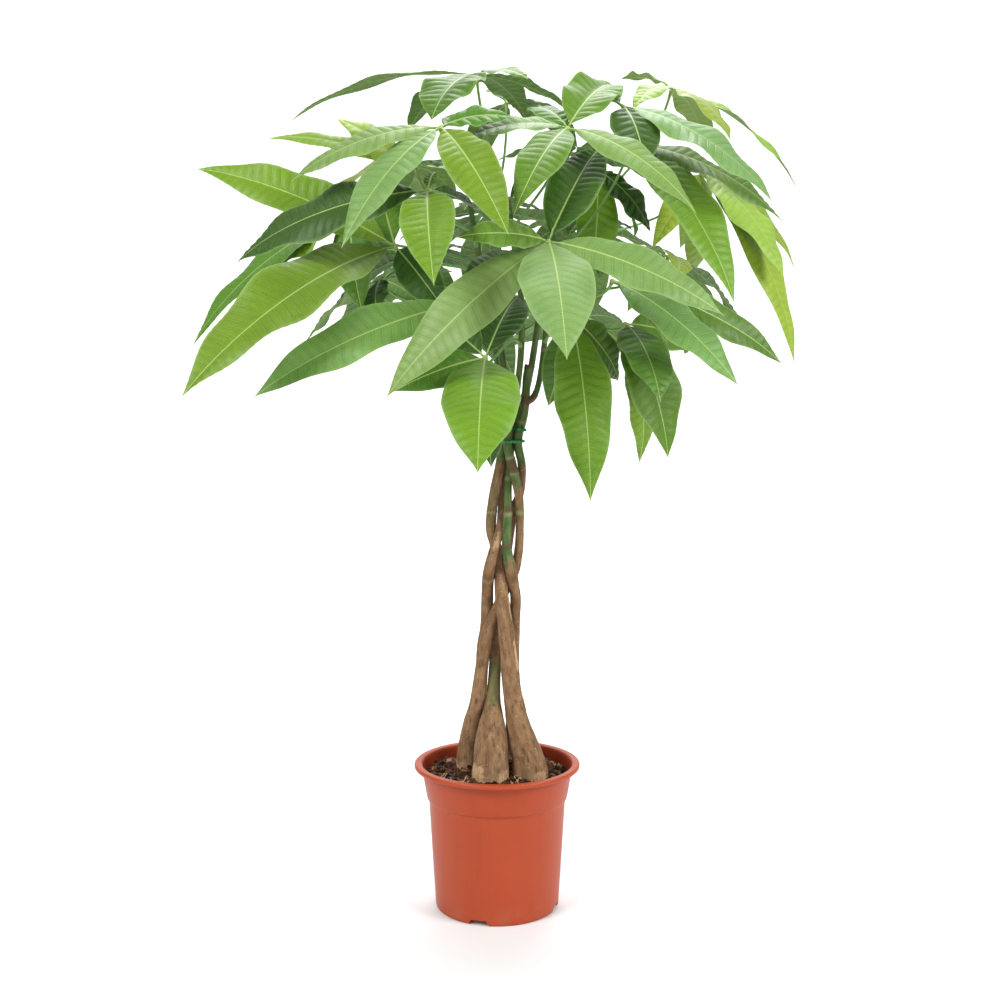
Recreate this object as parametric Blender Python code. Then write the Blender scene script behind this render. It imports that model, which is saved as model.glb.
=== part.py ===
"""Potted money tree: five braided stems in a plastic nursery pot, with a crown of palmate leaves.

Metres, +Z up. The pot stands on z = 0 with its axis on the Z axis, and the front of the plant faces -Y.
"""

import math

import bmesh
import bpy
from mathutils import Matrix, Quaternion, Vector
from mathutils.bvhtree import BVHTree

MM = 0.001
CM = 0.01
GAP = 0.35 * MM

# Pot: turned shell with a stepped collar and a rounded lip
POT_HEIGHT = 150 * MM
POT_RIM_RADIUS = 85 * MM
POT_BASE_RADIUS = 63.4 * MM
POT_WALL = 1.4 * MM
POT_SIDES = 56
FOOT_HEIGHT = 6 * MM
FLOOR_THICKNESS = 2 * MM
PAD_RADIUS = 30 * MM
NOTCH_COUNT = 4
NOTCH_WIDTH = 18 * MM
NOTCH_TURN = math.radians(-107)

# Soil: a low mound, set below the rim
SOIL_TOP = 143.5 * MM
SOIL_EDGE = 136 * MM

# Stems
STEM_SIDES = 10
STEM_STATIONS = 34
SOCKET_GAP = 0.5 * MM

# Leaves
BLADE_THICKNESS = 1.0 * MM
BLADE_SECTIONS = (0.15, 0.42, 0.72, 1.0)
TIP_WIDTH = 3 * MM
HUB_RADIUS = 4.2 * MM
HUB_THICKNESS = 2.4 * MM
PETIOLE_RADIUS = 1.6 * MM
PETIOLE_STATIONS = 6
STALK_SIDES = 6
STEM_GUARD_SIDES = 8
BASE_GUARD_PLACE = 0.04
OUTER_GUARD_PLACE = 0.2
GUARD = 1.6 * MM
CROWN_CENTRE = Vector((0.02, 0.0, 0.60))

# Where a stalk or a leaflet is tried until it clears its neighbours: turns, swings and lifts in degrees
STALK_TURNS = (0, 18, -18, 36, -36, 54, -54, 72, -72, 90, -90)
STALK_RISES = (0, 5 * MM, -5 * MM, 10 * MM, -10 * MM, 15 * MM, -15 * MM, 20 * MM, -20 * MM)
NUDGES = (
    (0, 0), (0, 5), (0, -5), (6, 0), (-6, 0), (0, 10), (0, -10), (7, 7), (-7, 7), (7, -7), (-7, -7),
    (0, 16), (0, -16), (12, 0), (-12, 0), (12, 12), (-12, 12), (12, -12), (-12, -12), (0, 24), (0, -24),
)
SIZES = (1.0, 0.85, 0.7)

# Each stem's route, in centimetres: x, y, z and radius, from its buried foot to its growing tip
STEMS = {
    "stem_front_right": (
        (3.5, -2.6, 12.8, 1.50), (3.3, -2.5, 14.6, 1.78), (2.9, -2.4, 16.8, 1.54), (2.2, -2.0, 19.3, 1.19),
        (1.7, -1.6, 21.8, 0.98), (1.1, -1.5, 26.9, 0.86), (0.9, -1.4, 29.1, 0.82), (0.5, -1.4, 32.0, 0.72),
        (0.3, -0.6, 34.9, 0.62), (0.0, 0.0, 36.9, 0.58), (-0.6, 0.1, 38.9, 0.54), (-0.5, 0.0, 41.0, 0.52),
        (-0.2, -0.1, 43.0, 0.53), (0.3, -0.1, 45.6, 0.46), (0.5, 0.1, 48.0, 0.41), (0.8, 0.3, 52.0, 0.39),
        (0.4, 0.6, 57.0, 0.37), (-0.8, 0.6, 62.0, 0.35), (-1.8, 0.4, 66.5, 0.32), (-2.6, 0.2, 71.0, 0.26),
    ),
    "stem_front_centre": (
        (-0.6, -3.3, 12.8, 1.60), (-0.6, -3.3, 14.6, 1.87), (-0.6, -3.0, 17.0, 1.74), (-0.5, -2.2, 19.4, 1.34),
        (-0.4, -0.8, 21.8, 0.74), (-0.1, 0.3, 26.5, 0.60), (0.3, 0.9, 28.9, 0.56), (0.4, 1.35, 31.6, 0.55),
        (0.7, 1.25, 34.7, 0.53), (1.0, 0.95, 36.8, 0.52), (1.3, 0.55, 38.9, 0.50), (1.7, 0.3, 41.0, 0.45),
        (2.4, 0.3, 43.0, 0.41), (2.5, 0.2, 45.5, 0.42), (2.1, -0.3, 48.0, 0.44), (2.7, -0.2, 50.7, 0.43),
        (2.9, -0.1, 52.8, 0.42), (3.0, -0.1, 54.4, 0.42), (3.3, -0.1, 55.6, 0.50),
    ),
    "stem_front_left": (
        (-3.1, 0.3, 12.8, 1.10), (-3.0, 0.2, 14.5, 1.21), (-2.9, 0.0, 16.7, 1.11), (-2.6, -0.3, 18.9, 0.91),
        (-2.0, -0.6, 21.6, 0.75), (-1.3, -0.9, 26.8, 0.65), (-0.8, -0.8, 29.0, 0.62), (0.4, 0.1, 31.8, 0.56),
        (1.0, 0.3, 33.3, 0.53), (1.8, 0.1, 34.8, 0.48), (2.2, -0.2, 36.9, 0.45), (2.3, -0.3, 39.0, 0.41),
        (2.3, -0.7, 41.1, 0.43), (2.1, -0.9, 43.1, 0.45), (1.5, -0.95, 45.6, 0.46), (1.0, -0.9, 48.0, 0.42),
        (1.5, -0.9, 50.7, 0.38), (1.9, -0.8, 52.5, 0.34), (2.4, -0.9, 57.0, 0.32), (2.4, -1.3, 62.0, 0.32),
        (1.8, -1.7, 66.5, 0.30), (1.2, -1.9, 71.0, 0.26),
    ),
    "stem_back_left": (
        (-1.4, 3.9, 12.8, 1.40), (-1.4, 3.8, 14.4, 1.56), (-1.5, 3.5, 16.3, 1.45), (-1.6, 2.8, 18.6, 1.03),
        (-1.7, 1.8, 21.0, 0.72), (-1.5, 1.0, 26.4, 0.64), (-1.15, 0.8, 28.7, 0.62), (-1.0, 0.3, 31.7, 0.62),
        (-0.95, -0.3, 33.4, 0.60), (-0.8, -1.3, 35.0, 0.57), (-0.3, -1.3, 37.1, 0.50), (0.3, -0.6, 39.0, 0.45),
        (0.5, 0.4, 41.0, 0.44), (0.5, 0.95, 42.9, 0.43), (0.6, 0.9, 45.5, 0.41), (0.8, 1.1, 48.0, 0.40),
        (0.5, 1.6, 52.0, 0.38), (-0.2, 2.4, 58.0, 0.36), (-1.4, 3.2, 64.0, 0.33), (-2.4, 3.8, 70.0, 0.26),
    ),
    "stem_back_right": (
        (2.2, 3.9, 12.8, 1.40), (2.2, 3.8, 14.4, 1.56), (2.1, 3.5, 16.3, 1.45), (1.9, 2.6, 18.7, 1.03),
        (1.6, 1.3, 21.1, 0.71), (1.7, 0.8, 26.4, 0.58), (1.8, 0.7, 28.8, 0.55), (1.9, 0.0, 31.8, 0.54),
        (1.7, -0.8, 33.4, 0.56), (1.4, -1.4, 35.1, 0.58), (1.0, -1.2, 37.1, 0.50), (1.0, -1.5, 39.1, 0.46),
        (1.1, -1.0, 41.1, 0.42), (1.1, -0.5, 43.1, 0.40), (1.25, 0.1, 45.5, 0.38), (1.5, 0.5, 48.0, 0.38),
        (2.0, 1.0, 50.5, 0.36), (3.2, 1.7, 54.0, 0.34), (4.2, 2.4, 60.0, 0.33), (5.0, 3.0, 65.0, 0.31),
        (5.8, 3.6, 70.5, 0.26),
    ),
}
# The shoot that grew out beside the cut top of stem_front_centre, part of that stem
SIDE_SHOOT = (
    (2.9, -0.1, 51.9, 0.30), (3.6, 0.0, 52.3, 0.30), (4.1, 0.1, 53.4, 0.30), (4.5, 0.2, 55.6, 0.29),
    (5.0, 0.1, 60.0, 0.28), (5.4, 0.0, 65.0, 0.26), (5.6, 0.0, 70.0, 0.22),
)
SHOOT_STATIONS = 12
SHOOT_SIDES = 8

# Each leaf: the stem that it grows from, the height of its joint, its hub, how far it leans to the front, and
# its leaflets as the tip's x, y, z and the blade's width. Heights and places are in centimetres. Leaves
# listed first keep their place where two meet.
LEAVES = {
    "leaf_01": ("stem_front_left", 60.0, (4.5, -17.0, 66.0), 0.9, (
        (5.5, -30.0, 55.5, 6.4), (-9.5, -19.0, 52.5, 5.2), (-3.5, -20.0, 66.0, 3.0),
        (19.5, -19.0, 59.5, 4.2), (9.5, -8.0, 75.5, 4.8))),
    "leaf_02": ("stem_front_left", 69.0, (6.5, -10.0, 77.0), 0.5, (
        (-3.0, -12.0, 75.5, 3.6), (1.5, -20.0, 68.0, 4.2), (17.5, -16.0, 68.5, 3.8),
        (11.5, 0.0, 83.0, 5.2), (3.0, -3.5, 80.0, 3.2))),
    "leaf_03": ("stem_front_left", 70.5, (-5.0, -13.0, 76.5), 0.65, (
        (-13.0, -21.0, 65.0, 4.4), (-18.0, -15.0, 71.5, 3.8), (1.0, -22.0, 66.0, 4.4),
        (1.5, -12.0, 77.5, 3.0), (-1.0, -6.0, 77.5, 3.2))),
    "leaf_04": ("stem_front_right", 67.5, (-6.0, -16.0, 70.5), 0.8, (
        (-5.0, -26.0, 61.5, 4.8), (-0.5, -10.0, 68.0, 3.2), (-24.0, -10.0, 64.8, 5.6),
        (-5.5, -13.5, 72.5, 1.2))),
    "leaf_05": ("stem_front_left", 57.5, (-1.0, -14.0, 56.0), 1.0, (
        (-1.5, -27.0, 46.5, 6.8), (-9.0, -18.0, 53.0, 3.4), (-0.5, -12.0, 46.0, 3.6),
        (2.0, -4.0, 62.0, 4.6), (-6.5, -5.0, 60.0, 4.0))),
    "leaf_06": ("side_shoot", 58.0, (7.0, -8.0, 60.0), 1.1, (
        (8.5, -14.0, 43.0, 5.4), (12.0, -2.0, 54.0, 4.0), (5.0, -4.0, 51.5, 3.4))),
    "leaf_07": ("stem_front_right", 64.5, (-9.5, -8.0, 66.5), 1.1, (
        (-26.5, -22.0, 52.5, 6.8), (-28.5, -6.0, 74.0, 4.8), (-11.5, 2.0, 73.0, 3.6),
        (-4.5, -12.0, 60.0, 3.8))),
    "leaf_08": ("stem_front_right", 61.0, (-3.0, -12.0, 61.0), 0.9, (
        (-21.5, -16.0, 52.5, 4.6), (2.5, -2.0, 66.5, 4.0))),
    "leaf_09": ("side_shoot", 61.0, (10.5, -12.0, 63.0), 0.75, (
        (21.0, -18.0, 53.5, 4.6), (18.5, -11.0, 57.0, 3.2), (26.5, -10.0, 55.5, 3.8),
        (16.5, -4.0, 57.5, 3.2))),
    "leaf_10": ("side_shoot", 59.5, (12.5, -4.0, 59.5), 0.9, (
        (16.5, -6.0, 46.5, 6.0), (15.0, -12.0, 52.0, 5.2), (14.5, 2.0, 45.5, 3.6),
        (20.0, 6.0, 57.0, 4.2))),
    "leaf_11": ("side_shoot", 69.0, (12.0, -5.0, 80.0), 0.6, (
        (13.5, -11.0, 73.0, 4.8), (25.0, -8.0, 69.5, 5.8), (6.5, 2.0, 84.0, 3.8))),
    "leaf_12": ("side_shoot", 66.5, (13.0, -2.0, 77.0), 0.7, (
        (28.0, -2.0, 69.5, 4.8), (22.0, -10.0, 61.0, 6.2), (18.0, 7.0, 74.0, 4.2))),
    "leaf_13": ("side_shoot", 65.0, (10.0, 1.0, 75.0), 0.9, (
        (9.5, 2.0, 64.5, 4.4), (12.0, -1.5, 65.5, 4.4), (15.5, 2.0, 69.0, 4.2), (14.5, 8.0, 69.0, 4.0))),
    "leaf_14": ("stem_front_right", 70.0, (-2.0, 0.0, 84.0), 0.15, (
        (-6.0, -9.5, 77.8, 6.0), (-20.5, 0.0, 79.5, 3.2), (3.0, -5.0, 82.5, 3.0),
        (8.0, 1.0, 81.0, 3.6), (-9.5, 10.0, 80.5, 4.6), (2.0, 10.0, 82.0, 4.0))),
    "leaf_15": ("stem_back_left", 66.0, (-15.0, 5.0, 71.0), 0.7, (
        (-13.5, 0.0, 61.0, 4.6), (-25.0, 2.0, 62.5, 5.0), (-30.5, 0.0, 57.5, 4.6),
        (-20.0, 15.0, 75.0, 4.0), (-12.0, 17.0, 67.0, 4.4))),
    "leaf_16": ("stem_back_left", 69.0, (-10.0, 10.0, 76.5), 0.9, (
        (-25.0, 12.0, 80.0, 2.6), (-17.0, 9.0, 81.6, 4.8), (-18.0, 19.0, 75.5, 5.0), (-7.0, 23.0, 73.0, 4.4),
        (-1.0, 15.0, 76.0, 4.0))),
    "leaf_17": ("stem_back_right", 69.5, (18.5, 10.0, 85.0), 0.3, (
        (32.0, 10.0, 74.5, 4.0), (23.5, 2.0, 78.0, 4.8), (13.5, 15.0, 87.0, 2.8),
        (13.5, 2.0, 81.0, 3.4), (24.0, 21.0, 80.0, 4.2))),
    "leaf_18": ("stem_back_right", 67.0, (22.5, 15.0, 77.0), 0.8, (
        (32.5, 12.0, 56.0, 5.0), (33.5, 17.0, 66.5, 4.4), (30.0, 10.0, 64.0, 5.4),
        (21.5, 20.0, 65.0, 4.6), (16.5, 10.0, 68.0, 3.2), (22.0, 28.0, 70.0, 4.4))),
    "leaf_19": ("stem_back_left", 69.8, (1.0, 10.0, 83.5), 0.2, (
        (7.0, 8.0, 82.0, 3.0), (-1.0, 14.0, 85.5, 2.6), (9.0, 17.0, 80.0, 4.4),
        (-3.0, 22.0, 78.0, 4.2))),
}
# Leaves whose leaflets spread evenly: stem, height, hub, number of leaflets, length, width, droop and turn
# in degrees; lengths in centimetres
ROUND_LEAVES = {
    "leaf_20": ("stem_back_left", 62.0, (-9.0, 14.0, 68.0), 6, 14.0, 4.6, 28, 10),
    "leaf_21": ("stem_back_left", 64.0, (-1.0, 18.0, 73.0), 7, 15.0, 4.8, 25, 0),
    "leaf_22": ("stem_back_right", 64.5, (11.0, 20.0, 71.0), 6, 14.0, 4.8, 28, 20),
    "leaf_23": ("stem_back_left", 59.5, (-3.0, 14.0, 62.5), 6, 12.5, 4.6, 22, 20),
    "leaf_24": ("stem_back_right", 59.5, (9.0, 13.0, 61.0), 6, 13.0, 4.8, 26, 5),
    "leaf_25": ("stem_back_right", 62.0, (18.0, 7.0, 67.0), 6, 12.0, 4.4, 26, 15),
    "leaf_26": ("stem_back_left", 60.8, (-12.0, 5.0, 64.5), 6, 11.0, 4.2, 18, 30),
    "leaf_27": ("stem_back_right", 66.0, (9.0, 8.0, 70.5), 6, 9.0, 3.4, 12, 25),
    "leaf_28": ("stem_front_right", 69.0, (-8.0, -1.0, 75.0), 6, 11.0, 3.8, 20, 0),
    "leaf_29": ("stem_back_right", 69.0, (8.0, 9.0, 78.0), 6, 12.0, 4.2, 18, 12),
}

PLASTIC = ("terracotta_plastic", (0.56, 0.102, 0.048), 0.42)
SOIL = ("bark_soil", (0.035, 0.022, 0.014), 0.95)
BARK = ("bark", (0.30, 0.20, 0.125), 0.80)
TIE = ("green_tie", (0.02, 0.22, 0.12), 0.30)
LEAF_GREENS = (
    ("leaf_green", (0.10, 0.30, 0.045), 0.42),
    ("leaf_deep_green", (0.045, 0.17, 0.022), 0.38),
    ("leaf_young_green", (0.22, 0.42, 0.06), 0.45),
)


def clear_scene():
    for obj in list(bpy.data.objects):
        bpy.data.objects.remove(obj, do_unlink=True)


def principled(name, colour, roughness):
    """The named material, made once and shared by the pieces that have it."""
    found = bpy.data.materials.get(name)
    if found:
        return found
    made = bpy.data.materials.new(name)
    made.use_nodes = True
    shader = made.node_tree.nodes["Principled BSDF"]
    shader.inputs["Base Color"].default_value = (*colour, 1.0)
    shader.inputs["Roughness"].default_value = roughness
    shader.inputs["Metallic"].default_value = 0.0
    return made


def finish(name, shape, look, smooth=True):
    """Turns a bmesh into a named object with its material, faces outward."""
    bmesh.ops.recalc_face_normals(shape, faces=shape.faces)
    mesh = bpy.data.meshes.new(name)
    shape.to_mesh(mesh)
    shape.free()
    if smooth:
        mesh.shade_smooth()
        mesh.set_sharp_from_angle(angle=math.radians(40))
    obj = bpy.data.objects.new(name, mesh)
    obj.data.materials.append(principled(*look))
    bpy.context.scene.collection.objects.link(obj)
    return obj


def add_boolean(obj, cutter, operation):
    """Cuts or joins with a helper object, which stays out of the part."""
    modifier = obj.modifiers.new(cutter.name, "BOOLEAN")
    modifier.operation = operation
    modifier.solver = "EXACT"
    modifier.object = cutter
    cutter.hide_render = True
    cutter.display_type = "WIRE"


# ---------------------------------------------------------------- turned and swept shapes


def turned(profile, sides):
    """A solid of revolution from (radius, height) points that start and end on the axis."""
    shape = bmesh.new()
    rings = []
    for radius, height in profile:
        if radius == 0:
            rings.append([shape.verts.new((0, 0, height))])
            continue
        turns = [2 * math.pi * i / sides for i in range(sides)]
        rings.append([shape.verts.new((radius * math.cos(a), radius * math.sin(a), height)) for a in turns])
    for lower, upper in zip(rings, rings[1:]):
        join_rings(shape, lower, upper)
    return shape


def join_rings(shape, lower, upper):
    """Faces between two rings of points; a ring of one point closes to it."""
    count = max(len(lower), len(upper))
    for i in range(count):
        j = (i + 1) % count
        corners = [lower[i % len(lower)], lower[j % len(lower)], upper[j % len(upper)], upper[i % len(upper)]]
        shape.faces.new(list(dict.fromkeys(corners)))


def smooth_route(points, count):
    """Evenly numbered stations on a Catmull-Rom curve through points of any number of values."""
    points = [tuple(map(float, point)) for point in points]
    first = tuple(2 * a - b for a, b in zip(points[0], points[1]))
    last = tuple(2 * a - b for a, b in zip(points[-1], points[-2]))
    padded = [first, *points, last]
    stations = []
    for i in range(count):
        place = i * (len(points) - 1) / (count - 1)
        span = min(int(place), len(points) - 2)
        t = place - span
        stations.append(tuple(
            0.5 * (2 * b + (c - a) * t + (2 * a - 5 * b + 4 * c - d) * t**2 + (3 * b - a - 3 * c + d) * t**3)
            for a, b, c, d in zip(*padded[span:span + 4])
        ))
    return stations


def along(centres):
    """The direction of a route at each of its points."""
    last = len(centres) - 1
    return [(centres[min(i + 1, last)] - centres[max(i - 1, 0)]).normalized() for i in range(last + 1)]


def swept_rings(centres, radii, sides, side_start=Vector((1, 0, 0)), normals=None):
    """Rings of points round a route, carried along it without twist."""
    normals = normals or along(centres)
    across = (side_start - normals[0] * side_start.dot(normals[0])).normalized()
    rings = []
    for i, (centre, radius, normal) in enumerate(zip(centres, radii, normals)):
        if i:
            across = normals[i - 1].rotation_difference(normal) @ across
        beside = normal.cross(across)
        turns = [2 * math.pi * k / sides for k in range(sides)]
        rings.append([centre + radius * (across * math.cos(a) + beside * math.sin(a)) for a in turns])
    return rings


def capped_tube(rings):
    """A closed tube from rings of points."""
    shape = bmesh.new()
    loops = [[shape.verts.new(point) for point in ring] for ring in rings]
    for lower, upper in zip(loops, loops[1:]):
        join_rings(shape, lower, upper)
    shape.faces.new(loops[0])
    shape.faces.new(loops[-1])
    return shape


# ---------------------------------------------------------------- pot and soil


def pot_profile():
    """The pot's section: under the floor, up the outside, over the lip and down the inside."""
    foot = FOOT_HEIGHT
    inner_base = POT_BASE_RADIUS - POT_WALL
    outside = [
        (0, 0), (PAD_RADIUS - 2 * MM, 0), (PAD_RADIUS, 2 * MM), (PAD_RADIUS + 2 * MM, foot),
        (53 * MM, foot), (54.5 * MM, 1 * MM), (55.5 * MM, 0), (59.5 * MM, 0), (62 * MM, 0.9 * MM),
        (POT_BASE_RADIUS, 3.2 * MM), (POT_BASE_RADIUS + 0.6 * MM, 10 * MM),
        (70.3 * MM, 112 * MM), (72.3 * MM, 114.2 * MM), (77.3 * MM, 143.6 * MM), (78.4 * MM, 144.6 * MM),
        (83.4 * MM, 144.8 * MM), (84.6 * MM, 145.6 * MM), (POT_RIM_RADIUS, 147 * MM),
        (84.7 * MM, 149 * MM), (83.8 * MM, 149.8 * MM), (82.6 * MM, POT_HEIGHT),
    ]
    inside = [
        (79.4 * MM, POT_HEIGHT), (77.6 * MM, 149 * MM), (76.2 * MM, 146.4 * MM), (75.9 * MM, 143.8 * MM),
        (70.9 * MM, 114.6 * MM), (68.9 * MM, 112.4 * MM), (inner_base + 0.6 * MM, foot + 5 * MM),
        (inner_base - 2 * MM, foot + FLOOR_THICKNESS), (PAD_RADIUS + 1 * MM, foot + FLOOR_THICKNESS),
        (PAD_RADIUS - 1.6 * MM, FLOOR_THICKNESS + 1 * MM), (PAD_RADIUS - 3 * MM, FLOOR_THICKNESS),
        (0, FLOOR_THICKNESS),
    ]
    return outside + inside


def drain_cutters():
    """Boxes that notch the foot ring, at even turns, so that water can leave the channel under the floor."""
    shape = bmesh.new()
    for i in range(NOTCH_COUNT):
        turn = Matrix.Rotation(NOTCH_TURN + 2 * math.pi * i / NOTCH_COUNT, 4, "Z")
        place = turn @ Matrix.Translation((POT_BASE_RADIUS - 4 * MM, 0, 1.5 * MM))
        size = Matrix.Diagonal((16 * MM, NOTCH_WIDTH, 10 * MM, 1))
        bmesh.ops.create_cube(shape, size=1, matrix=place @ size)
    return finish("drain_cutters", shape, PLASTIC, smooth=False)


def build_pot():
    pot = finish("pot", turned(pot_profile(), POT_SIDES), PLASTIC)
    add_boolean(pot, drain_cutters(), "DIFFERENCE")


def soil_profile():
    """The soil fills the pot's inside with a thin gap and ends in a low mound."""
    floor = FOOT_HEIGHT + FLOOR_THICKNESS + GAP
    return [
        (0, FLOOR_THICKNESS + GAP), (PAD_RADIUS - 4 * MM, FLOOR_THICKNESS + GAP),
        (PAD_RADIUS - 0.6 * MM, floor), (POT_BASE_RADIUS - POT_WALL - 3.2 * MM, floor),
        (POT_BASE_RADIUS - POT_WALL - 0.6 * MM, FOOT_HEIGHT + 5 * MM), (68.2 * MM, 112.4 * MM),
        (70.3 * MM, 115.2 * MM), (73.9 * MM, SOIL_EDGE), (66 * MM, SOIL_EDGE + 2.4 * MM),
        (48 * MM, SOIL_TOP - 1.6 * MM), (24 * MM, SOIL_TOP), (0, SOIL_TOP),
    ]


def stem_stations(name):
    """Centres and radii of a stem, in metres."""
    stations = smooth_route(STEMS[name], STEM_STATIONS)
    return [Vector(s[:3]) * CM for s in stations], [s[3] * CM for s in stations]


def socket_cutter(name):
    """The foot of a stem, a little larger, which leaves its socket in the soil."""
    centres, radii = stem_stations(name)
    top = next(i for i, centre in enumerate(centres) if centre.z > SOIL_TOP + 1 * CM)
    centres[0].z -= SOCKET_GAP
    normals = along(centres)
    grown = [radius + SOCKET_GAP for radius in radii]
    rings = swept_rings(centres, grown, STEM_SIDES, normals=normals)
    return finish("socket_" + name, capped_tube(rings[:top + 1]), SOIL)


def build_soil():
    soil = finish("soil", turned(soil_profile(), POT_SIDES), SOIL)
    for name in STEMS:
        add_boolean(soil, socket_cutter(name), "DIFFERENCE")


# ---------------------------------------------------------------- stems and tie


def shoot_stations():
    stations = smooth_route(SIDE_SHOOT, SHOOT_STATIONS)
    return [Vector(s[:3]) * CM for s in stations], [s[3] * CM for s in stations]


def build_stems():
    for name in STEMS:
        centres, radii = stem_stations(name)
        stem = finish(name, capped_tube(swept_rings(centres, radii, STEM_SIDES)), BARK)
        if name == "stem_front_centre":
            centres, radii = shoot_stations()
            shoot = finish("side_shoot", capped_tube(swept_rings(centres, radii, SHOOT_SIDES)), BARK)
            add_boolean(stem, shoot, "UNION")


def route_at(route, height):
    """Centre, radius and direction of a rising route at a height."""
    centres, radii = route
    for i in range(len(centres) - 1):
        if centres[i].z <= height <= centres[i + 1].z:
            t = (height - centres[i].z) / (centres[i + 1].z - centres[i].z)
            ahead = (centres[i + 1] - centres[i]).normalized()
            return centres[i].lerp(centres[i + 1], t), radii[i] + t * (radii[i + 1] - radii[i]), ahead
    return centres[-1], radii[-1], Vector((0, 0, 1))


def tie_loop(name, around, height, wire=0.7 * MM, directions=28, sides=6):
    """A wire drawn tight round some stems: each of its points stands off the stem that is outermost there."""
    held = [route_at(stem_stations(stem), height) for stem in around]
    centres = []
    for i in range(directions):
        turn = 2 * math.pi * i / directions
        out = Vector((math.cos(turn), math.sin(turn), 0))
        centre, radius, _ = max(held, key=lambda stem: stem[0].dot(out) + stem[1])
        point = centre + out * (radius * 1.05 + 0.5 * MM + wire)
        centres.append(Vector((point.x, point.y, height)))
    shape = bmesh.new()
    rings = []
    for i, centre in enumerate(centres):
        ahead = (centres[(i + 1) % directions] - centres[i - 1]).normalized()
        beside = Vector((0, 0, 1)).cross(ahead)
        turns = [2 * math.pi * k / sides for k in range(sides)]
        rings.append([shape.verts.new(centre + wire * (beside * math.cos(a) + Vector((0, 0, math.sin(a)))))
                      for a in turns])
    for i, ring in enumerate(rings):
        join_rings(shape, ring, rings[(i + 1) % directions])
    finish(name, shape, TIE)


# ---------------------------------------------------------------- leaves


def bezier(a, b, c, d, t):
    u = 1 - t
    return a * u**3 + b * (3 * u * u * t) + c * (3 * u * t * t) + d * t**3


def blade_share(s):
    """A leaflet's width at a place along it, as a share of its full width: widest past the middle."""
    return s**1.15 * (1 - s) ** 0.65 / 0.308 if s < 1 else 0.0


def facing_of(hub, lean=0.0):
    """The way a leaf looks: outward from the crown's middle and up, and to the front as far as it leans."""
    out = (hub - CROWN_CENTRE).normalized()
    return (out * 0.45 + Vector((0, -lean, 0.7))).normalized()


def perpendicular(vector, axis):
    """The unit vector nearest to vector that is square to axis."""
    return (vector - axis * vector.dot(axis)).normalized()


def swung(hub, facing, tip, swing, lift, size):
    """A leaflet's tip turned about its hub: round the leaf's axis, up or down, and drawn in."""
    reach = tip - hub
    reach = Quaternion(facing, math.radians(swing)) @ reach
    beside = facing.cross(reach)
    if beside.length > 1e-9:
        reach = Quaternion(beside.normalized(), math.radians(-lift)) @ reach
    return hub + reach * size


def midrib(hub, facing, tip, arch=0.13):
    """The four control points of a leaflet's midrib: it leaves the hub and arches over to its tip."""
    reach = tip - hub
    length = reach.length
    over = perpendicular(facing, reach.normalized())
    start = hub + (reach / length + over * 0.25).normalized() * (HUB_RADIUS * 0.9)
    first = hub + reach * 0.30 + over * length * arch
    second = hub + reach * 0.72 + over * length * arch
    return start, first, second, tip


def blade_sections(hub, facing, tip, width, places, extra=0.0):
    """Slab sections of a leaflet, four corners each: top left, top right, bottom right, bottom left."""
    curve = midrib(hub, facing, tip)
    sections = []
    for s in places:
        centre = bezier(*curve, s)
        ahead = (bezier(*curve, min(s + 0.02, 1.0)) - bezier(*curve, max(s - 0.02, 0.0))).normalized()
        face = perpendicular(facing, ahead)
        across = ahead.cross(face)
        half = max(blade_share(s) * width, TIP_WIDTH) / 2 + extra
        thick = BLADE_THICKNESS / 2 + extra
        sections.append([
            centre - across * half + face * thick, centre + across * half + face * thick,
            centre + across * half - face * thick, centre - across * half - face * thick,
        ])
    return sections


def tree_of_rings(rings):
    """A search tree of the closed tube through some rings."""
    sides = len(rings[0])
    points = [point for ring in rings for point in ring]
    faces = [tuple(range(sides)), tuple(range(len(points) - sides, len(points)))]
    for i in range(len(rings) - 1):
        for k in range(sides):
            j = (k + 1) % sides
            faces.append((i * sides + k, i * sides + j, (i + 1) * sides + j, (i + 1) * sides + k))
    low = Vector([min(p[i] for p in points) for i in range(3)])
    high = Vector([max(p[i] for p in points) for i in range(3)])
    return low, high, BVHTree.FromPolygons(points, faces)


def meets(one, others):
    """True if a guard touches any other guard."""
    low, high, tree = one
    for other_low, other_high, other_tree in others:
        if all(low[i] <= other_high[i] and other_low[i] <= high[i] for i in range(3)):
            if tree.overlap(other_tree):
                return True
    return False


def petiole_route(route, height, hub, facing, turn):
    """Centres and ring normals of a leaf stalk, from the leaf's hub down to its stem."""
    joint, radius, ahead = route_at(route, height)
    out = perpendicular(hub - joint, ahead)
    out = Quaternion(ahead, math.radians(turn)) @ out
    foot = joint + out * (radius + GAP)
    reach = (hub - foot).length
    top = hub - facing * HUB_THICKNESS
    leave = (out + Vector((0, 0, 0.7))).normalized()
    curve = (top, top - facing * reach * 0.30, foot + leave * reach * 0.30, foot)
    centres = [bezier(*curve, i / (PETIOLE_STATIONS - 1)) for i in range(PETIOLE_STATIONS)]
    normals = along(centres)
    normals[0] = -facing
    normals[-1] = -out
    return centres, normals


def stem_routes():
    routes = {name: stem_stations(name) for name in STEMS}
    routes["side_shoot"] = shoot_stations()
    return routes


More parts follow.
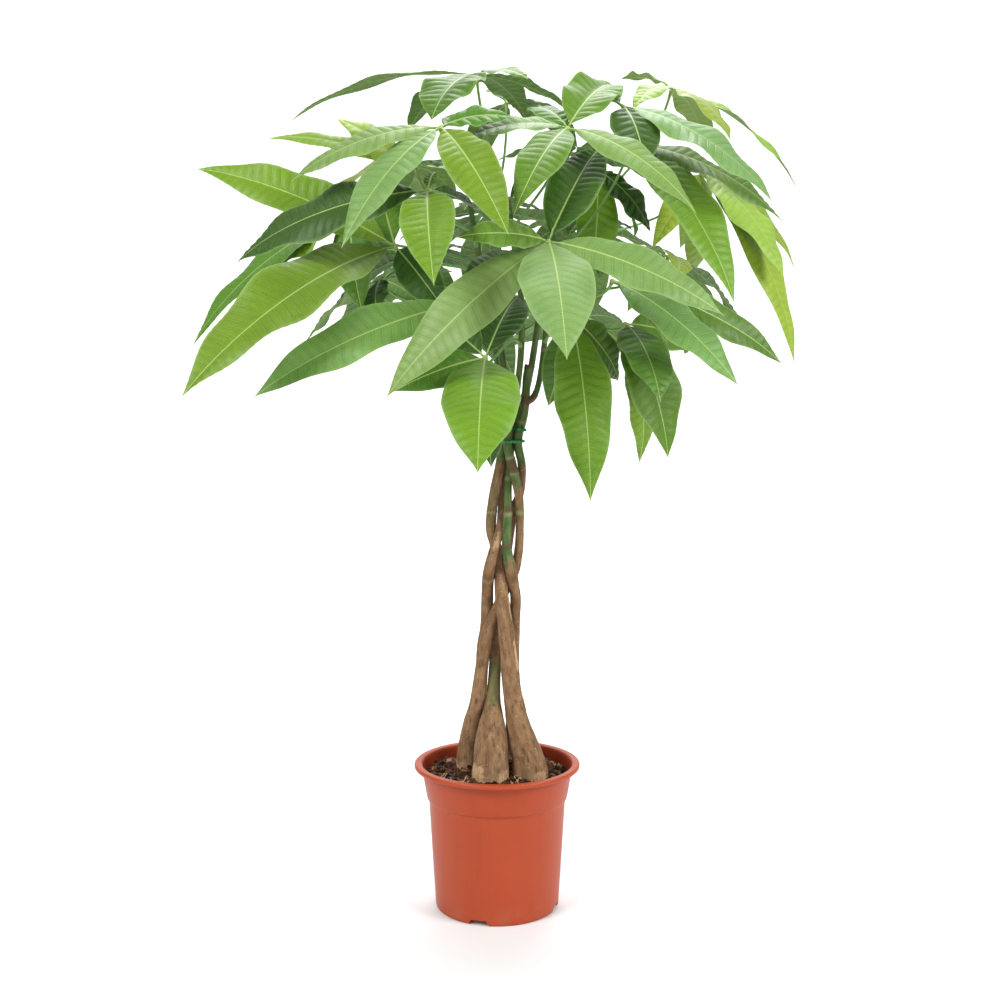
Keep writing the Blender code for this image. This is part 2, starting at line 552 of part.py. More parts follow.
def grown_leaves():
    """Every leaf as (name, stem, height, hub, facing, leaflets), each leaflet as its tip and width."""
    leaves = []
    for name, (stem, height, hub, lean, leaflets) in LEAVES.items():
        hub = Vector(hub) * CM
        tips = [(Vector(leaflet[:3]) * CM, leaflet[3] * CM) for leaflet in leaflets]
        leaves.append((name, stem, height * CM, hub, facing_of(hub, lean), tips))
    for name, (stem, height, hub, count, length, width, droop, turn) in ROUND_LEAVES.items():
        hub = Vector(hub) * CM
        facing = facing_of(hub)
        ahead = perpendicular(Vector((facing.x, facing.y, -1.0)), facing)
        beside = facing.cross(ahead)
        tips = []
        for i in range(count):
            angle = math.radians(turn) + 2 * math.pi * i / count
            size = 1 - 0.16 * (1 - math.cos(angle))
            out = ahead * math.cos(angle) + beside * math.sin(angle)
            out = out * math.cos(math.radians(droop)) - facing * math.sin(math.radians(droop))
            tips.append((hub + out * length * size * CM, width * size * CM))
        leaves.append((name, stem, height * CM, hub, facing, tips))
    return leaves


def stalk_tree(centres, normals, extra=0.0):
    """A search tree of a leaf stalk, or of the start of one."""
    radii = [PETIOLE_RADIUS + extra] * len(centres)
    return tree_of_rings(swept_rings(centres, radii, STALK_SIDES, normals=normals))


def clear_stalk(route, height, hub, facing, own_stem, others):
    """The first turn and rise of a leaf stalk that clears the other stalks and stems, with its guard."""
    for turn in STALK_TURNS:
        for rise in STALK_RISES:
            centres, normals = petiole_route(route, height + rise, hub, facing, turn)
            guard = stalk_tree(centres, normals, GUARD / 2)
            free = stalk_tree(centres[:-1], normals[:-1])
            if not meets(guard, others) and not meets(free, [own_stem]):
                return centres, normals, guard
    raise ValueError("a leaf stalk has no clear way to its stem")


def settle_petioles(leaves, routes):
    """Chooses where each stalk joins its stem, so that it clears the stems and the stalks before it."""
    stems = {name: tree_of_rings(swept_rings(*route, STEM_GUARD_SIDES)) for name, route in routes.items()}
    guards = {}
    settled = {}
    for name, stem, height, hub, facing, _ in leaves:
        others = list(guards.values())
        others += [tree for other, tree in stems.items() if other != stem]
        centres, normals, guard = clear_stalk(routes[stem], height, hub, facing, stems[stem], others)
        guards[name] = guard
        settled[name] = (centres, normals)
    return settled, guards, list(stems.values())


def settle_leaflets(leaves, stalks, stems):
    """Tips and widths of leaflets that clear their neighbours; one with no room is left out."""
    placed = list(stems)
    hubs = {name: tree_of_rings(hub_block(hub, facing)) for name, _, _, hub, facing, _ in leaves}
    settled = {}
    for name, _, _, hub, facing, leaflets in leaves:
        others = placed + [tree for other, tree in stalks.items() if other != name]
        others += [tree for other, tree in hubs.items() if other != name]
        siblings = []
        settled[name] = []
        for tip, width in leaflets:
            choice = first_clear(hub, facing, tip, width, others, siblings, stalks[name])
            if choice is None:
                continue
            settled[name].append(choice[:2])
            placed.append(choice[2])
            siblings.append(choice[3])
    return settled


def hub_block(hub, facing):
    """Two small rings that stand for a hub."""
    across = perpendicular(Vector((1, 0.3, 0)), facing)
    beside = facing.cross(across)
    ring = [(across * x + beside * y) * HUB_RADIUS * 1.2 for x, y in ((1, 1), (-1, 1), (-1, -1), (1, -1))]
    return [[hub + p - facing * 3 * MM for p in ring], [hub + p + facing * 1.5 * MM for p in ring]]


def first_clear(hub, facing, tip, width, others, siblings, own_stalk):
    """The first nudge of a leaflet that clears its neighbours."""
    for size in SIZES:
        for swing, lift in NUDGES:
            moved = swung(hub, facing, tip, swing, lift, size)
            wide = width * size
            places = (BASE_GUARD_PLACE, *BLADE_SECTIONS)
            whole = tree_of_rings(blade_sections(hub, facing, moved, wide, places, GUARD))
            if meets(whole, others):
                continue
            places = (OUTER_GUARD_PLACE, *BLADE_SECTIONS[1:])
            outer = tree_of_rings(blade_sections(hub, facing, moved, wide, places, GUARD / 2))
            if meets(outer, siblings) or meets(outer, [own_stalk]):
                continue
            return moved, wide, whole, outer
    return None


def azimuth(hub, facing, point):
    """The turn of a point about a leaf's axis."""
    across = perpendicular(Vector((1, 0.3, 0)), facing)
    beside = facing.cross(across)
    reach = point - hub
    return math.atan2(reach.dot(beside), reach.dot(across))


def hub_corners(turns):
    """Turns of the hub's corners and, for each leaflet, the number of its first corner.

    Neighbouring leaflets share a corner midway between them; a wide gap gets corners of its own.
    """
    corners = []
    starts = []
    count = len(turns)
    half = math.radians(30)
    for i, turn in enumerate(turns):
        ahead = turns[(i + 1) % count] + (2 * math.pi if i == count - 1 else 0)
        behind = turns[i - 1] - (2 * math.pi if i == 0 else 0)
        if turn - behind > 2 * half + 0.1 or i == 0:
            corners.append(max(turn - half, (turn + behind) / 2) if turn - behind < 2 * half else turn - half)
        starts.append(len(corners) - 1)
        if ahead - turn > 2 * half + 0.1:
            corners.append(turn + half)
            spare = ahead - turn - 2 * half
            for k in range(1, math.ceil(spare / math.radians(70))):
                corners.append(turn + half + spare * k / math.ceil(spare / math.radians(70)))
        elif i < count - 1:
            corners.append((turn + ahead) / 2)
    return corners, starts


def leaf_shape(hub, facing, leaflets, stalk):
    """One closed leaf: a hub whose sides run out into leaflets and whose underside becomes the stalk."""
    leaflets = sorted(leaflets, key=lambda leaflet: azimuth(hub, facing, leaflet[0]))
    turns = [azimuth(hub, facing, tip) for tip, _ in leaflets]
    corners, starts = hub_corners(turns)
    across = perpendicular(Vector((1, 0.3, 0)), facing)
    beside = facing.cross(across)
    rim = [(across * math.cos(a) + beside * math.sin(a)) * HUB_RADIUS for a in corners]
    shape = bmesh.new()
    top = [shape.verts.new(hub + point + facing * BLADE_THICKNESS / 2) for point in rim]
    bottom = [shape.verts.new(hub + point * 0.8 - facing * HUB_THICKNESS / 2) for point in rim]
    shape.faces.new(top)
    count = len(corners)
    for k in range(count):
        j = (k + 1) % count
        if k not in starts:
            shape.faces.new([top[k], top[j], bottom[j], bottom[k]])
    for start, (tip, width) in zip(starts, leaflets):
        j = (start + 1) % count
        ring = [top[start], top[j], bottom[j], bottom[start]]
        for section in blade_sections(hub, facing, tip, width, BLADE_SECTIONS):
            corners_now = [shape.verts.new(section[i]) for i in (1, 0, 3, 2)]
            join_rings(shape, ring, corners_now)
            ring = corners_now
        shape.faces.new(ring)
    add_stalk(shape, bottom, hub, facing, stalk, corners)
    return shape


def add_stalk(shape, ring, hub, facing, stalk, corners):
    """Sweeps the hub's underside down to the stem."""
    centres, normals = stalk
    across = perpendicular(Vector((1, 0.3, 0)), facing)
    for i, centre in enumerate(centres):
        if i:
            across = normals[i - 1].rotation_difference(normals[i]) @ across
        beside = across.cross(normals[i])
        loop = [shape.verts.new(centre + PETIOLE_RADIUS * (across * math.cos(a) + beside * math.sin(a)))
                for a in corners]
        join_rings(shape, ring, loop)
        ring = loop
    shape.faces.new(ring)


def build_leaves():
    leaves = grown_leaves()
    routes = stem_routes()
    stalks, guards, stems = settle_petioles(leaves, routes)
    settled = settle_leaflets(leaves, guards, stems)
    for i, (name, _, _, hub, facing, _) in enumerate(leaves):
        look = LEAF_GREENS[i % len(LEAF_GREENS)]
        finish(name, leaf_shape(hub, facing, settled[name], stalks[name]), look)


def main():
    clear_scene()
    build_pot()
    build_soil()
    build_stems()
    tie_loop("tie_wire", list(STEMS), 0.480)
    tie_loop("upper_tie_wire", ["stem_front_centre", "stem_back_right"], 0.4915)
    build_leaves()


main()
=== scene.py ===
"""Looks of the potted money tree: plastic pot, bark soil, five braided stems and a crown of palmate leaves.

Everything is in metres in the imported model's frame, with +Z up, and the front of the plant faces -Y.
"""

from __future__ import annotations

import itertools
import logging
import math
from dataclasses import dataclass, field
from enum import Enum

import bpy
import numpy as np
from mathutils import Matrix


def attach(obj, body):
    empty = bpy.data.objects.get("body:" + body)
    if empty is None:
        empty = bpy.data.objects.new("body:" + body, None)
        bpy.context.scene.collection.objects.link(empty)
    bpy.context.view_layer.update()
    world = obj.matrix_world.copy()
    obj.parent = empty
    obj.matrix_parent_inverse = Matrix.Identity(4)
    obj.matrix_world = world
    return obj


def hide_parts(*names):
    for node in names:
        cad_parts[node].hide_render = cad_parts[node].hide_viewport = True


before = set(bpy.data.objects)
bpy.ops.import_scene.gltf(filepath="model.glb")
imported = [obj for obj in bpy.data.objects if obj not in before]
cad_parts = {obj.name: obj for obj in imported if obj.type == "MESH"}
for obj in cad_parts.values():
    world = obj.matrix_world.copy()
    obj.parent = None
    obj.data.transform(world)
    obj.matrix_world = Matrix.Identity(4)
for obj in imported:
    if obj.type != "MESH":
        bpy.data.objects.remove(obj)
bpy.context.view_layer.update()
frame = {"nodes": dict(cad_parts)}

LOG = logging.getLogger("money_tree")
MM = 0.001
CM = 0.01
Array = np.ndarray
Colour = tuple[float, float, float]
Place = tuple[float, float, float]

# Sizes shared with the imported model
GAP = 0.35 * MM
STEM_STATIONS = 34
SHOOT_STATIONS = 12
HUB_RADIUS = 4.2 * MM
HUB_THICKNESS = 2.4 * MM
PETIOLE_RADIUS = 1.6 * MM
BLADE_THICKNESS = 1.0 * MM
TIP_WIDTH = 3.0 * MM
MIDRIB_ARCH = 0.13
CROWN_CENTRE = np.array((0.02, 0.0, 0.60))
STALK_TURNS = (0, 18, -18, 36, -36, 54, -54, 72, -72, 90, -90)
STALK_RISES = (0, 5 * MM, -5 * MM, 10 * MM, -10 * MM, 15 * MM, -15 * MM, 20 * MM, -20 * MM)
NUDGES = (
    (0, 0), (0, 5), (0, -5), (6, 0), (-6, 0), (0, 10), (0, -10), (7, 7), (-7, 7), (7, -7), (-7, -7),
    (0, 16), (0, -16), (12, 0), (-12, 0), (12, 12), (-12, 12), (12, -12), (-12, -12), (0, 24), (0, -24),
)
SHRINKS = (1.0, 0.85, 0.7)
MOST_MISMATCH = 0.3 * MM

SHARP_ANGLE = math.radians(70)
FOOT_HEIGHT = 142 * MM
TIE_HEIGHTS = (0.480, 0.4915)


# ---------------------------------------------------------------- arrays


def unit(vectors: Array) -> Array:
    """Each vector divided by its length."""
    return vectors / np.maximum(np.linalg.norm(vectors, axis=-1, keepdims=True), 1e-12)


def dot(one: Array, other: Array) -> Array:
    """The dot product of matching rows, kept as a column."""
    return np.sum(one * other, axis=-1, keepdims=True)


def square_to(vectors: Array, axis: Array) -> Array:
    """The unit vectors nearest to some vectors that are square to an axis."""
    return unit(vectors - axis * dot(vectors, axis))


def spun(vectors: Array, axis: Array, angle: Array | float) -> Array:
    """Vectors turned about a unit axis.

    Rodrigues: the vector times the cosine, plus the axis crossed with it times the sine, plus the part along
    the axis times one minus the cosine.

    Args:
        vectors: rows of vectors.
        axis: a unit vector, or a row for each vector.
        angle: radians, one number or a column.

    Returns:
        The turned vectors.
    """
    along = axis * dot(axis, vectors)
    return vectors * np.cos(angle) + np.cross(axis, vectors) * np.sin(angle) + along * (1 - np.cos(angle))


def smooth_step(low: float, high: float, values: Array) -> Array:
    """0 below low, 1 above high, and the cubic 3t² - 2t³ between them."""
    t = np.clip((values - low) / (high - low), 0.0, 1.0)
    return t * t * (3 - 2 * t)


def lattice(cells: Array, seed: int) -> Array:
    """A fixed pseudo-random value from -1 to 1 for each whole-number cell.

    Args:
        cells: whole-number cells, one per row.
        seed: changes every value.

    Returns:
        One value for each cell.
    """
    mixed = cells[..., 0] * 374761393 + cells[..., 1] * 668265263 + cells[..., 2] * 1442695041 + seed * 97531
    mixed = (mixed ^ (mixed >> 13)) * 1274126177
    mixed = mixed ^ (mixed >> 16)
    return (mixed & 0xFFFF) / 32767.5 - 1.0


def noise(points: Array, scale: float, seed: int = 0) -> Array:
    """Smooth value noise from -1 to 1: the eight lattice values round a point, blended by a cubic fade.

    Args:
        points: places in metres.
        scale: cells to a metre.
        seed: changes every value.

    Returns:
        One value for each point.
    """
    scaled = points * scale
    cell = np.floor(scaled).astype(np.int64)
    part = scaled - cell
    fade = part * part * (3 - 2 * part)
    total = np.zeros(points.shape[:-1])
    for corner in itertools.product((0, 1), repeat=3):
        weight = np.prod(np.where(np.array(corner) == 1, fade, 1 - fade), axis=-1)
        total += weight * lattice(cell + np.array(corner), seed)
    return total


def route_through(points: Array, count: int) -> Array:
    """Stations on a Catmull-Rom curve: each span blends its four nearest points with cubic weights.

    Args:
        points: rows of any number of values.
        count: how many stations, evenly numbered along the curve.

    Returns:
        One row for each station.
    """
    padded = np.vstack([2 * points[0] - points[1], points, 2 * points[-1] - points[-2]])
    place = np.linspace(0, len(points) - 1, count)
    span = np.minimum(place.astype(int), len(points) - 2)
    t = (place - span)[:, None]
    a, b, c, d = (padded[span + k] for k in range(4))
    return 0.5 * (2 * b + (c - a) * t + (2 * a - 5 * b + 4 * c - d) * t**2 + (3 * b - a - 3 * c + d) * t**3)


def directions(centres: Array) -> Array:
    """The direction of a path at each of its points, from the point before to the point after."""
    ends = np.vstack([centres[:1], centres, centres[-1:]])
    return unit(ends[2:] - ends[:-2])


def cubic(controls: Array, t: Array) -> Array:
    """Points of a cubic curve: its four control points weighed by the Bernstein polynomials.

    Args:
        controls: four points for each curve.
        t: places along it from 0 to 1.

    Returns:
        The points.
    """
    t = t[..., None]
    u = 1 - t
    return controls[0] * u**3 + controls[1] * 3 * u * u * t + controls[2] * 3 * u * t * t + controls[3] * t**3


# ---------------------------------------------------------------- surfaces


@dataclass
class Surface:
    """A closed surface: points, faces of four and three sides, its material's number and values per point."""

    points: Array
    quads: Array
    tris: Array = field(default_factory=lambda: np.zeros((0, 3), int))
    material: int = 0
    values: dict[str, Array] = field(default_factory=dict)

    def with_values(self, **values: Array) -> Surface:
        """Sets four numbers for each point under each name, repeating a single row."""
        for name, rows in values.items():
            self.values[name] = np.broadcast_to(np.asarray(rows, float), (len(self.points), 4))
        return self


def tube_faces(rings: int, sides: int) -> Array:
    """Quads between the rings of a tube, each ring joined to the next and closed on itself.

    Args:
        rings: how many rings.
        sides: points to a ring.

    Returns:
        Four point numbers for each face.
    """
    i, j = np.meshgrid(np.arange(rings - 1), np.arange(sides), indexing="ij")
    k = (j + 1) % sides
    faces = np.stack([i * sides + j, i * sides + k, (i + 1) * sides + k, (i + 1) * sides + j], axis=-1)
    return faces.reshape(-1, 4)


def closed_tube(rings: Array, first: Array | None = None, last: Array | None = None) -> Surface:
    """A tube closed at each end by triangles to one point.

    Args:
        rings: stations by sides by three, each ring anticlockwise seen from ahead.
        first: the point that closes the start, or None for the first ring's middle.
        last: the point that closes the end, or None for the last ring's middle.

    Returns:
        The closed surface, its two end points last.
    """
    count, sides = rings.shape[:2]
    first = rings[0].mean(0) if first is None else first
    last = rings[-1].mean(0) if last is None else last
    ends = np.array([first, last])
    points = np.vstack([rings.reshape(-1, 3), ends])
    j = np.arange(sides)
    k = (j + 1) % sides
    start = np.full(sides, count * sides)
    base = (count - 1) * sides
    tris = np.vstack([np.stack([start, k, j], -1), np.stack([start + 1, base + j, base + k], -1)])
    return Surface(points, tube_faces(count, sides), tris)


def swept(centres: Array, radii: Array, sides: int, reference: Array) -> Surface:
    """A round tube along a path: circles square to the path, kept from turning by a reference.

    Args:
        centres: the path's points.
        radii: a radius for each point.
        sides: points round the tube.
        reference: a direction that isn't along the path anywhere.

    Returns:
        The closed tube.
    """
    ahead = directions(centres)
    across = square_to(np.broadcast_to(reference, ahead.shape), ahead)
    beside = np.cross(ahead, across)
    turn = np.linspace(0, 2 * math.pi, sides, endpoint=False)[None, :, None]
    circle = across[:, None] * np.cos(turn) + beside[:, None] * np.sin(turn)
    return closed_tube(centres[:, None] + circle * radii[:, None, None])


def lathe(profile: Array, sides: int) -> Surface:
    """A solid of revolution: radius and height carried round the Z axis, from a point on it to another.

    Args:
        profile: radius and height of each corner.
        sides: points to a circle.

    Returns:
        The solid.
    """
    turn = np.linspace(0, 2 * math.pi, sides, endpoint=False)
    radius, height = profile[1:-1, 0], profile[1:-1, 1]
    rings = np.stack([
        radius[:, None] * np.cos(turn),
        radius[:, None] * np.sin(turn),
        np.broadcast_to(height[:, None], (len(height), sides)),
    ], axis=-1)
    return closed_tube(rings, np.array((0, 0, profile[0, 1])), np.array((0, 0, profile[-1, 1])))


def rounded(corners: Array, radius: float, steps: int = 5) -> Array:
    """A profile with each corner replaced by a small parabola from one of its edges to the other.

    Args:
        corners: radius and height of each corner; the first and last stay.
        radius: how far from a corner its curve starts, at most 0.45 of the edge.
        steps: points on each curve.

    Returns:
        The finer profile.
    """
    before = corners[:-2] - corners[1:-1]
    after = corners[2:] - corners[1:-1]
    reach_before = np.minimum(radius, 0.45 * np.linalg.norm(before, axis=1))[:, None]
    reach_after = np.minimum(radius, 0.45 * np.linalg.norm(after, axis=1))[:, None]
    start = corners[1:-1] + unit(before) * reach_before
    end = corners[1:-1] + unit(after) * reach_after
    t = np.linspace(0, 1, steps)[None, :, None]
    curve = start[:, None] * (1 - t) ** 2 + corners[1:-1][:, None] * 2 * t * (1 - t) + end[:, None] * t**2
    return np.vstack([corners[:1], curve.reshape(-1, 2), corners[-1:]])


def make_piece(
    name: str, surfaces: list[Surface], materials: list[bpy.types.Material], smooth: bool = True
) -> bpy.types.Object:
    """Puts surfaces into one mesh object at the origin.

    Args:
        name: the object's name.
        surfaces: the closed surfaces; all hold the same names of values.
        materials: the materials, numbered as the surfaces say.
        smooth: true for smooth shading.

    Returns:
        The object, linked into the scene.
    """
    starts = np.cumsum([0] + [len(s.points) for s in surfaces])
    points = np.vstack([s.points for s in surfaces])
    quads = np.vstack([s.quads + start for s, start in zip(surfaces, starts)])
    tris = np.vstack([s.tris + start for s, start in zip(surfaces, starts)])
    numbers = [np.full(len(s.quads), s.material) for s in surfaces]
    numbers += [np.full(len(s.tris), s.material) for s in surfaces]
    mesh = bpy.data.meshes.new(name)
    mesh.vertices.add(len(points))
    mesh.vertices.foreach_set("co", points.astype(np.float32).ravel())
    mesh.loops.add(quads.size + tris.size)
    mesh.loops.foreach_set("vertex_index", np.concatenate([quads.ravel(), tris.ravel()]).astype(np.int32))
    mesh.polygons.add(len(quads) + len(tris))
    loop_starts = np.concatenate([np.arange(len(quads)) * 4, quads.size + np.arange(len(tris)) * 3])
    mesh.polygons.foreach_set("loop_start", loop_starts.astype(np.int32))
    mesh.polygons.foreach_set("material_index", np.concatenate(numbers).astype(np.int32))
    mesh.polygons.foreach_set("use_smooth", np.full(len(quads) + len(tris), smooth))
    for key in surfaces[0].values:
        rows = np.vstack([s.values[key] for s in surfaces])
        layer = mesh.attributes.new(key, "FLOAT_COLOR", "POINT")
        layer.data.foreach_set("color", rows.astype(np.float32).ravel())
    mesh.update(calc_edges=True)
    mesh.validate()
    if smooth:
        mesh.set_sharp_from_angle(angle=SHARP_ANGLE)
    for material in materials:
        mesh.materials.append(material)
    made = bpy.data.objects.new(name, mesh)
    bpy.context.scene.collection.objects.link(made)
    return made


def settle(piece: bpy.types.Object, slot: str, *nodes: str) -> None:
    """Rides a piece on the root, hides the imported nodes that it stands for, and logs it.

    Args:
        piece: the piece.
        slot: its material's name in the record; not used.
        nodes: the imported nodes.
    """
    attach(piece, "root")
    if nodes:
        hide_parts(*nodes)
    LOG.info("%s: %d faces, for %s", piece.name, len(piece.data.polygons), ", ".join(nodes) or "itself")


# ---------------------------------------------------------------- materials


Socket = bpy.types.NodeSocket
Feed = "Socket | float | tuple"


class Bench:
    """Adds nodes to one tree. An input is given as a number, a colour or another node's output."""

    def __init__(self, tree: bpy.types.NodeTree) -> None:
        """Starts on a tree.

        Args:
            tree: the node tree that the nodes go into.
        """
        self.tree = tree

    def feed(self, socket: Socket, value: Feed) -> None:
        """Links an output to a socket, or sets the socket's own value.

        Args:
            socket: the input.
            value: a socket, a number or a colour.
        """
        if isinstance(value, bpy.types.NodeSocket):
            self.tree.links.new(value, socket)
        elif isinstance(value, tuple) and len(value) == 3 and socket.type == "RGBA":
            socket.default_value = (*value, 1.0)
        else:
            socket.default_value = value

    def add(self, kind: str, inputs: dict[str, Feed] | None = None, **settings: object) -> bpy.types.Node:
        """Adds a shader node.

        Args:
            kind: the node's type without its ShaderNode prefix.
            inputs: values or outputs for its sockets by name.
            settings: properties of the node.

        Returns:
            The node.
        """
        node = self.tree.nodes.new("ShaderNode" + kind)
        for key, value in settings.items():
            setattr(node, key, value)
        for key, value in (inputs or {}).items():
            self.feed(node.inputs[key], value)
        return node

    def math(self, operation: str, one: Feed, other: Feed = 0.0, clamp: bool = False) -> Socket:
        """The result of a Math node.

        Args:
            operation: its name.
            one: the first input.
            other: the second.
            clamp: whether to keep to 0 to 1.

        Returns:
            The result.
        """
        node = self.add("Math", operation=operation, use_clamp=clamp)
        self.feed(node.inputs[0], one)
        self.feed(node.inputs[1], other)
        return node.outputs[0]

    def blend(self, factor: Feed, one: Feed, other: Feed, mode: str = "MIX") -> Socket:
        """The colour of a Mix node.

        Args:
            factor: share of the other colour.
            one: the first colour.
            other: the second.
            mode: how they mix.

        Returns:
            The colour.
        """
        node = self.add("Mix", data_type="RGBA", blend_type=mode)
        self.feed(node.inputs[0], factor)
        self.feed(node.inputs[6], one)
        self.feed(node.inputs[7], other)
        return node.outputs[2]

    def window(
        self, value: Feed, low: float, high: float, out_low: float = 0.0, out_high: float = 1.0
    ) -> Socket:
        """A smooth step of a value between two limits, mapped to two results.

        Args:
            value: what is looked at.
            low: where the step starts.
            high: where it ends.
            out_low: the result under it.
            out_high: the result over it.

        Returns:
            The result.
        """
        names = ("Value", "From Min", "From Max", "To Min", "To Max")
        inputs = dict(zip(names, (value, low, high, out_low, out_high)))
        return self.add("MapRange", inputs, interpolation_type="SMOOTHSTEP").outputs[0]

    def grain(self, vector: Feed, scale: float, detail: float = 3.0, roughness: float = 0.55) -> Socket:
        """The value of a Noise texture."""
        inputs = {"Vector": vector, "Scale": scale, "Detail": detail, "Roughness": roughness}
        return self.add("TexNoise", inputs).outputs[0]

    def stretch(self, vector: Feed, scale: tuple[float, float, float]) -> Socket:
        """A vector scaled along each axis."""
        return self.add("Mapping", {"Vector": vector, "Scale": scale}).outputs[0]

    def where(self) -> Socket:
        """The piece's own place, in metres."""
        return self.add("TexCoord").outputs["Object"]

    def attribute(self, name: str) -> bpy.types.Node:
        """A named value of the mesh."""
        return self.add("Attribute", attribute_name=name)

    def group(self, tree: bpy.types.NodeTree, inputs: dict[str, Feed]) -> bpy.types.Node:
        """Places a shared group.

        Args:
            tree: the group.
            inputs: values or outputs for its sockets by name.

        Returns:
            The group node.
        """
        node = self.tree.nodes.new("ShaderNodeGroup")
        node.node_tree = tree
        for key, value in inputs.items():
            self.feed(node.inputs[key], value)
        return node


def new_group(
    name: str, inputs: dict[str, tuple[str, float | tuple]], outputs: dict[str, str]
) -> tuple[bpy.types.NodeTree, Bench, dict[str, Socket], bpy.types.Node]:
    """Starts a shader node group with named sockets.

    Args:
        name: the group's name.
        inputs: the type and default value of each input.
        outputs: the type of each output.

    Returns:
        The group, a bench on it, its input sockets by name and its output node.
    """
    tree = bpy.data.node_groups.new(name, "ShaderNodeTree")
    for key, (kind, value) in inputs.items():
        socket = tree.interface.new_socket(key, in_out="INPUT", socket_type="NodeSocket" + kind)
        if kind != "Vector":
            socket.default_value = value
    for key, kind in outputs.items():
        tree.interface.new_socket(key, in_out="OUTPUT", socket_type="NodeSocket" + kind)
    source = tree.nodes.new("NodeGroupInput")
    sink = tree.nodes.new("NodeGroupOutput")
    return tree, Bench(tree), {socket.name: socket for socket in source.outputs if socket.name}, sink


def mottle_group() -> bpy.types.NodeTree:
    """Two sizes of noise that lighten and darken a colour by a share.

    Returns:
        The group.
    """
    tree, bench, source, sink = new_group(
        "mottle",
        {
            "Colour": ("Color", (0.5, 0.5, 0.5, 1.0)),
            "Place": ("Vector", 0.0),
            "Scale": ("Float", 20.0),
            "Share": ("Float", 0.2),
        },
        {"Colour": "Color", "Cloud": "Float"},
    )
    settings = {"Vector": source["Place"], "Scale": source["Scale"], "Detail": 2.0}
    broad = bench.add("TexNoise", settings).outputs[0]
    finer = bench.math("MULTIPLY", source["Scale"], 5.3)
    fine = bench.add("TexNoise", {"Vector": source["Place"], "Scale": finer, "Detail": 3.0}).outputs[0]
    cloud = bench.math("ADD", bench.math("MULTIPLY", broad, 0.62), bench.math("MULTIPLY", fine, 0.38))
    centred = bench.math("SUBTRACT", cloud, 0.5)
    swing = bench.math("MULTIPLY", centred, bench.math("MULTIPLY", source["Share"], 4.0))
    factor = bench.math("ADD", swing, 1.0)
    grey = bench.add("CombineColor", {"Red": factor, "Green": factor, "Blue": factor}).outputs[0]
    bench.feed(sink.inputs["Colour"], bench.blend(1.0, source["Colour"], grey, "MULTIPLY"))
    bench.feed(sink.inputs["Cloud"], cloud)
    return tree


def speck_group() -> bpy.types.NodeTree:
    """Small round spots at cell middles: a mask where the distance to the nearest middle is short.

    Returns:
        The group.
    """
    tree, bench, source, sink = new_group(
        "specks",
        {"Place": ("Vector", 0.0), "Scale": ("Float", 200.0), "Size": ("Float", 0.2)},
        {"Mask": "Float"},
    )
    cells = bench.add("TexVoronoi", {"Vector": source["Place"], "Scale": source["Scale"]})
    chosen = bench.add("SeparateColor", {"Color": cells.outputs["Color"]}).outputs[0]
    size = bench.math("MULTIPLY", source["Size"], bench.math("POWER", chosen, 3.0))
    near = bench.math("SUBTRACT", size, cells.outputs["Distance"])
    bench.feed(sink.inputs["Mask"], bench.math("MULTIPLY", near, 14.0, clamp=True))
    return tree


class Finish:
    """What every finish shares: a material with one Principled shader and a bench on its nodes."""

    def start(self, name: str, roughness: float) -> tuple[bpy.types.Material, Bench, bpy.types.Node, Socket]:
        """Makes the material.

        Args:
            name: the material's name.
            roughness: the shader's roughness where nothing feeds it.

        Returns:
            The material, its bench, its shader and the piece's own place.
        """
        made = bpy.data.materials.new(name)
        made.use_nodes = True
        bench = Bench(made.node_tree)
        shader = made.node_tree.nodes["Principled BSDF"]
        shader.inputs["Roughness"].default_value = roughness
        return made, bench, shader, bench.where()

    def relief(
        self, bench: Bench, shader: bpy.types.Node, height: Socket, strength: float, depth: float
    ) -> None:
        """Feeds a height to the shader's normal through a Bump node.

        Args:
            bench: the tree being built.
            shader: the shader.
            height: the height.
            strength: share of the bump.
            depth: metres for a height of 1.
        """
        bump = bench.add("Bump", {"Strength": strength, "Distance": depth, "Height": height})
        bench.feed(shader.inputs["Normal"], bump.outputs[0])


